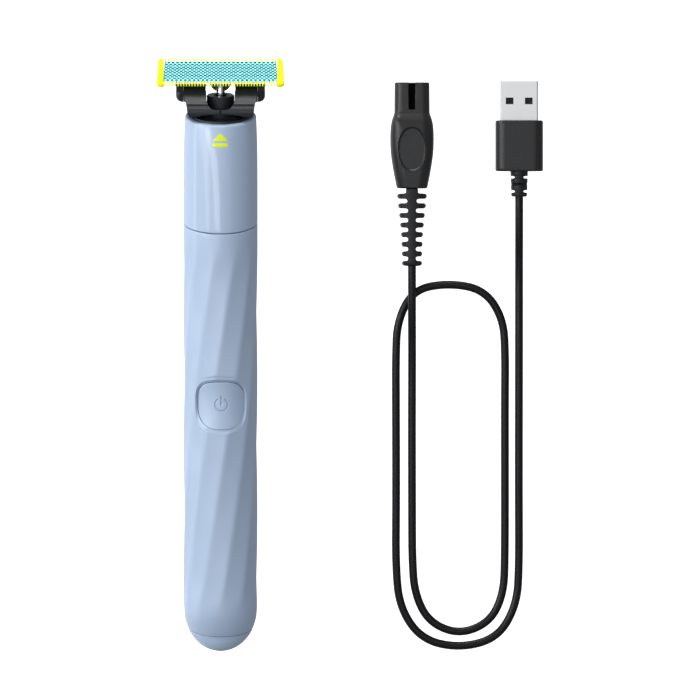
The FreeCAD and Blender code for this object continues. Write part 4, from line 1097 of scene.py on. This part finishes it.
def build_cap(side):
    pts = [(18.03, -5.55), (20.38, -5.55), (19.78, 5.40), (18.03, 5.40)]
    radii = [0.35, 1.15, 1.05, 0.35]
    rows = []
    for n, inset in [(-1.50, 0.35), (-1.46, 0.20), (-1.36, 0.08), (-1.18, 0.0), (-0.6, 0.0), (-0.12, 0.0), (0.06, 0.05), (0.18, 0.14), (0.26, 0.28), (0.30, 0.48), (0.315, 0.75)]:
        loop = rounded_poly(pts, radii, inset)
        rows.append([head(side * p[0], p[1], n, fan=False) for p in loop])
    verts, faces = loft(rows)
    name = "end_block_left" if side < 0 else "end_block_right"
    return make(name, verts, faces, M["comb_lime"], "blade_head", ["end_cap_left" if side < 0 else "end_cap_right"], angle=50)


build_cap(-1)
build_cap(1)


# ================================================================ black parts that keep their CAD shape
for name, width in [("blade_yoke", 0.16), ("blade_carrier", 0.16), ("top_insert", 0.14), ("drive_post", 0.10), ("cutter_carriage", 0.10),
                    ("usb_shell", 0.07), ("drive_lever", 0.15), ("chassis", 0.12), ("circuit_board", 0.06),
                    ("control_chips", 0.06), ("tact_switch", 0.08), ("battery_tab_plus", 0.03), ("battery_tab_minus", 0.03), ("motor_can", 0.15),
                    ("eccentric_crank", 0.1), ("usb_tongue", 0.06), ("usb_contacts", 0.02), ("cutter_blade", 0.02), ("tilt_springs", 0.02)]:
    bevel(name, width)
for name in ["drive_shaft", "shaft_seal", "hinge_pins", "battery_cell", "motor_bearings", "motor_magnets", "motor_armature", "motor_shaft", "crank_pin",
             "lever_pivot_pin", "charge_pins", "plug_contacts", "chassis_screws", "body_seal", "cap_seal"]:
    o = nodes[name]
    o.data.polygons.foreach_set("use_smooth", [True] * len(o.data.polygons))
    o.data.set_sharp_from_angle(angle=math.radians(30))


# the socket's mouth stands just inside the cap's lip
def build_socket():
    o = nodes["charge_socket"]
    mw = o.matrix_world
    verts = []
    for v in o.data.vertices:
        w = (mw @ v.co) / MM
        verts.append((w.x, max(w.y, LIP_Y + 0.06), w.z))
    faces = [list(p.vertices) for p in o.data.polygons]
    return make("socket_mouth", verts, faces, M["black_plastic"], "handle", ["charge_socket"], angle=30)


build_socket()

# faces of the USB shell that turn sideways or endways get darker steel: painted shade
me = nodes["usb_shell"].data
me.materials.append(M_STEEL_SIDE_SHADE)
for poly in me.polygons:
    if abs(poly.normal.x) > 0.30 or abs(poly.normal.y) > 0.5:
        poly.material_index = 1

# ================================================================ charging lead
PX, PZ, UX, UZ = 60.92, 4.80, 95.05, 4.00


def section(cx, cz, w, h, r, y, top=44, side=6, corner=26):
    """rounded rectangle; more points on its top face"""
    x0, x1, z0, z1 = cx - w / 2, cx + w / 2, cz - h / 2, cz + h / 2
    pts = []
    for a0, ccx, ccz in ((0, x1 - r, z1 - r), (1, x0 + r, z1 - r), (2, x0 + r, z0 + r), (3, x1 - r, z0 + r)):
        for k in range(corner):
            a = (a0 + k / (corner - 1.0)) * PI / 2
            pts.append((ccx + r * math.cos(a), ccz + r * math.sin(a)))
        if a0 == 0:
            pts += [(x1 - r + (x0 - x1 + 2 * r) * k / top, z1) for k in range(1, top)]
        elif a0 == 1:
            pts += [(x0, z1 - r + (z0 - z1 + 2 * r) * k / side) for k in range(1, side)]
        elif a0 == 2:
            pts += [(x0 + r + (x1 - x0 - 2 * r) * k / 16, z0) for k in range(1, 16)]
        else:
            pts += [(x1, z0 + r + (z1 - z0 - 2 * r) * k / side) for k in range(1, side)]
    return np.array([(x, y, z) for x, z in pts])


def build_plug():
    table = [(51.0, 9.0, 8.1, 3.2), (52.95, 9.7, 8.4, 3.3), (58.0, 11.7, 9.2, 3.6), (64.0, 13.5, 9.6, 3.9), (69.0, 13.9, 9.6, 4.0), (72.4, 13.6, 9.5, 3.9),
             (74.0, 13.1, 9.0, 3.5), (75.2, 12.5, 8.3, 3.2), (76.3, 11.70, 7.2, 2.9), (77.0, 11.30, 6.45, 2.6), (77.5, 11.26, 6.3, 2.6), (79.0, 11.2, 6.3, 2.6), (82.0, 11.15, 6.3, 2.6)]
    dense = catmull([(51.0 - 2, 8.4, 7.8, 3.1)] + table[1:] + [(86.0, 11.1, 6.3, 2.6)], 14)
    dense = dense[np.argsort(dense[:, 0])]
    ys = list(np.linspace(53.35, 77.6, 118)) + list(np.linspace(77.75, 86.25, 66))
    rows = []

    def at(y):
        if y > 77.5:
            return 11.26 - 0.016 * (y - 77.5), 6.3, 2.6
        return tuple(np.interp(y, dense[:, 0], dense[:, k]) for k in (1, 2, 3))

    for y, ins in [(52.95, 0.55), (52.98, 0.30), (53.08, 0.12), (53.22, 0.03)]:
        w, h, r = at(y)
        rows.append(section(PX, PZ, w - 2 * ins, h - 2 * ins, max(r - ins, 0.5), y))
    for y in ys:
        w, h, r = at(y)
        rows.append(section(PX, PZ, w, h, r, y))
    for y, ins in [(86.42, 0.03), (86.57, 0.10), (86.68, 0.22), (86.74, 0.40)]:
        w, h, r = at(y)
        rows.append(section(PX, PZ, w - 2 * ins, h - 2 * ins, max(r - ins, 0.5), y))
    P = np.array(rows)
    x, y, z = P[..., 0] - PX, P[..., 1], P[..., 2] - PZ
    top = z > 1.0
    # thumb rest: an oval sunk to a nearly flat floor
    q = (np.abs(x / 4.30) ** 2.15 + np.abs((y - 65.55) / 6.80) ** 2.15) ** (1 / 2.15)
    floor_z = 4.02 + 0.10 * ((y - 65.55) / 6.8) ** 2
    m = smooth01((1.035 - q) / 0.085)
    z2 = np.where(top, z + (np.minimum(z, floor_z) - z) * m, z)
    lip = np.exp(-((q - 1.06) / 0.035) ** 2) * 0.05
    z2 = np.where(top, z2 + lip, z2)
    # key slot at the tip
    sd = np.maximum(np.abs(x) - 1.00, 0)
    sd = np.hypot(sd, np.maximum(78.55 - y, 0)) + np.minimum(np.maximum(np.abs(x) - 1.00, 78.55 - y), 0)
    sd = np.hypot(np.maximum(np.abs(x) - 0.55, 0), np.maximum(78.55 - y, 0)) - 0.45
    s = smooth01((0.11 - sd) / 0.16)
    z3 = np.where(top, z2 + (np.minimum(z2, 1.60) - z2) * s, z2)
    P[..., 2] = PZ + z3
    # the slot runs out through the end face
    P[..., 1] = np.where(y > 86.2, P[..., 1] - 0.30 * s, P[..., 1])
    verts, faces = loft(list(P))
    nc = P.shape[1]
    # the slot's floor takes the near-black painted shade
    slot_shade_mask = (s > 0.55) & top
    index = []
    for i in range(P.shape[0] - 1):
        for j in range(nc):
            j2 = (j + 1) % nc
            index.append(1 if slot_shade_mask[i, j] and slot_shade_mask[i, j2] and slot_shade_mask[i + 1, j] and slot_shade_mask[i + 1, j2] else 0)
    index += [0, 0]
    return make("plug_body", verts, faces, [M["plug_black"], M_SLOT_SHADE], "charging_cable", ["device_plug"], angle=50, index=index)


plug = build_plug()


def build_relief():
    widths = [9.5, 8.9, 8.2, 7.6, 7.05, 6.8, 6.5, 6.4]
    cores = [1.92, 1.51, 1.28, 1.25, 1.25, 1.25, 1.25, 1.25, 1.25]
    n = 72
    t = np.arange(n) * 2 * PI / n

    def ring(y, w, h, lim):
        e = 0.88
        x = w / 2 * np.sign(np.cos(t)) * np.abs(np.cos(t)) ** e
        z = h / 2 * np.sign(np.sin(t)) * np.abs(np.sin(t)) ** e
        if lim is not None:
            x = x / (1 + (np.abs(x) / lim) ** 10) ** 0.1
        return np.stack([PX + x, np.full(n, y), PZ + z], -1)

    rows = []
    y = 52.95
    yy = 51.3
    rows.append(ring(52.93, 4.0, 7.6, 1.92))
    rows.append(ring(52.60, 9.5, 8.2, 1.96))
    first = True
    total0, total1 = 52.95, 28.22

    def hgt(yv):
        f = (yv - total1) / (total0 - total1)
        return 6.35 + (8.3 - 6.35) * f ** 1.2

    y_top = 51.3
    rows.append(ring(51.75, 9.4, hgt(51.75), 1.92))
    rows.append(ring(51.50, 9.4, hgt(51.5), 2.05))
    rows.append(ring(51.36, 9.4, hgt(51.36), 2.45))
    for i, w in enumerate(widths):
        h0, h1 = hgt(y_top), hgt(y_top - 1.66)
        last = i == 7
        # top face of the rib, rounded shoulder, side, rounded lower shoulder, bottom face
        for yv, lw in [(y_top - 0.00, w / 2 - 0.42), (y_top - 0.05, w / 2 - 0.20), (y_top - 0.18, w / 2 - 0.05), (y_top - 0.40, None)]:
            rows.append(ring(yv, w, hgt(yv), lw))
        if not last:
            for yv, lw in [(y_top - 1.20, None), (y_top - 1.46, w / 2 - 0.06), (y_top - 1.60, w / 2 - 0.20), (y_top - 1.66, w / 2 - 0.42)]:
                rows.append(ring(yv, w - 0.1, hgt(yv), lw))
            c = cores[i + 1]
            yb = y_top - 1.66
            for dy, extra in [(0.02, 0.75), (0.10, 0.35), (0.28, 0.10), (0.52, 0.0), (0.70, 0.0), (0.88, 0.0), (1.12, 0.10), (1.30, 0.35), (1.38, 0.75)]:
                wm = w + (widths[i + 1] - w) * dy / 1.4
                rows.append(ring(yb - dy, wm, hgt(yb - dy), c + extra))
        else:
            for dy, k in [(1.00, 1.0), (1.25, 0.955), (1.45, 0.87), (1.58, 0.75), (1.65, 0.60)]:
                rows.append(ring(y_top - dy, w * k, 6.35 * k, None))
        y_top -= 1.66 + 1.40
    verts, faces = loft(rows)
    return make("plug_relief", verts, faces, M["relief_black"], "charging_cable", ["device_strain_relief"], angle=50)


relief = build_relief()


def build_usb():
    rows = []
    for y, ins in [(58.40, 0.75), (58.42, 0.45), (58.52, 0.20), (58.70, 0.05), (59.0, 0.0)]:
        rows.append(section(UX, UZ, 15.2 - 2 * ins, 8.0 - 2 * ins, 3.1 - ins, y, top=24))
    for y in np.linspace(59.6, 73.4, 24):
        rows.append(section(UX, UZ, 15.2, 8.0, 3.1, y, top=24))
    for y, ins in [(74.05, 0.0), (74.35, 0.04), (74.53, 0.14), (74.63, 0.30), (74.65, 0.60)]:
        rows.append(section(UX, UZ, 15.2 - 2 * ins, 8.0 - 2 * ins, 3.1 - ins, y, top=24))
    # seat of the steel shell
    for y, w, h, r in [(74.65, 12.5, 5.0, 0.62), (74.60, 12.25, 4.75, 0.55), (74.40, 12.12, 4.62, 0.52), (69.0, 12.12, 4.62, 0.52)]:
        rows.append(section(UX, UZ, w, h, r, y, top=24))
    verts, faces = loft(rows)
    return make("usb_grip", verts, faces, M["plug_black"], "charging_cable", ["usb_overmold"], angle=50)


usb = build_usb()


def build_usb_relief():
    """tapering sleeve, notched in turn from its sides and from its faces"""
    n = 96
    t = (np.arange(n) + 0.5) * 2 * PI / n

    def ring(y, ins=0.0, side=None, face=None):
        r = 2.80 - 0.0335 * (58.45 - y) - ins
        x, z = r * np.cos(t), r * np.sin(t)
        if side is not None:
            x = x / (1 + (np.abs(x) / side) ** 14) ** (1 / 14)
        if face is not None:
            z = np.where(np.abs(x) < 2.32, z / (1 + (np.abs(z) / face) ** 14) ** (1 / 14), z)
        return np.stack([UX + x, np.full(n, y), UZ + z], -1)

    rows = [ring(58.45), ring(57.6), ring(57.02)]

    def notch(y1, y0, kind, core):
        for d, e in ((0.0, 0.04), (0.03, 0.14), (0.07, 0.30)):
            rows.append(ring(y1 + 0.09 - d, e * 0.4))
        for f, add in ((0.0, 0.55), (0.12, 0.18), (0.3, 0.03), (0.5, 0.0), (0.7, 0.03), (0.88, 0.18), (1.0, 0.55)):
            rows.append(ring(y1 + (y0 - y1) * f, 0.10, **{kind: core + add}))
        for d, e in ((0.07, 0.30), (0.03, 0.14), (0.0, 0.04)):
            rows.append(ring(y0 - 0.09 + d, e * 0.4))

    notch(56.87, 56.15, "side", 1.40)
    rows.append(ring(55.3))
    notch(54.62, 54.00, "face", 1.40)
    rows.append(ring(53.2))
    notch(52.37, 51.65, "side", 1.40)
    rows.append(ring(51.0))
    for y, ins in [(50.66, 0.03), (50.50, 0.10), (50.40, 0.22), (50.34, 0.42)]:
        rows.append(ring(y, ins))
    verts, faces = loft(rows)
    return make("usb_relief_sleeve", verts, faces, M["relief_black"], "charging_cable", ["usb_strain_relief"], angle=45)


usb_relief = build_usb_relief()

ROUTE = [(60.92, 28.22, 4.80), (60.92, 14.50, 4.80), (60.97, 0.50, 1.30), (60.90, -24.00, 1.30), (60.95, -50.00, 1.30),
         (61.00, -65.20, 1.30), (61.79, -76.09, 1.30), (66.25, -85.17, 1.30), (76.01, -89.14, 1.30), (85.83, -85.11, 1.30),
         (90.17, -75.89, 1.30), (90.52, -63.20, 1.30), (90.53, -39.73, 1.30), (90.51, -14.37, 1.30), (90.64, -0.61, 1.30),
         (90.04, 11.44, 1.30), (83.93, 20.72, 1.30), (72.66, 22.83, 1.30), (61.38, 20.77, 1.30), (56.22, 10.70, 1.30),
         (55.76, -1.16, 1.30), (55.82, -17.00, 1.30), (55.89, -45.44, 1.30), (55.72, -67.61, 1.30), (57.06, -80.67, 1.30),
         (64.00, -90.73, 1.30), (76.14, -93.43, 1.30), (88.23, -90.23, 1.30), (94.32, -79.59, 1.30), (95.07, -66.83, 1.30),
         (94.95, -42.73, 1.30), (95.01, -8.13, 1.30), (95.03, 15.20, 1.30), (95.02, 27.70, 1.30), (95.05, 39.30, 4.00),
         (95.05, 50.33, 4.00)]
crv = bpy.data.curves.new("lead", "CURVE")
crv.dimensions = "3D"
sp = crv.splines.new("NURBS")
sp.points.add(len(ROUTE) - 1)
for p, q in zip(sp.points, ROUTE):
    p.co = (q[0] * MM, q[1] * MM, q[2] * MM, 1.0)
sp.order_u = 3
sp.use_endpoint_u = True
sp.resolution_u = 14
crv.bevel_depth = 0.0013
crv.bevel_resolution = 8
crv.use_fill_caps = True
lead = bpy.data.objects.new("lead", crv)
scene.collection.objects.link(lead)
crv.materials.append(M["cord_black"])
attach(lead, "charging_cable")
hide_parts("charging_cord")
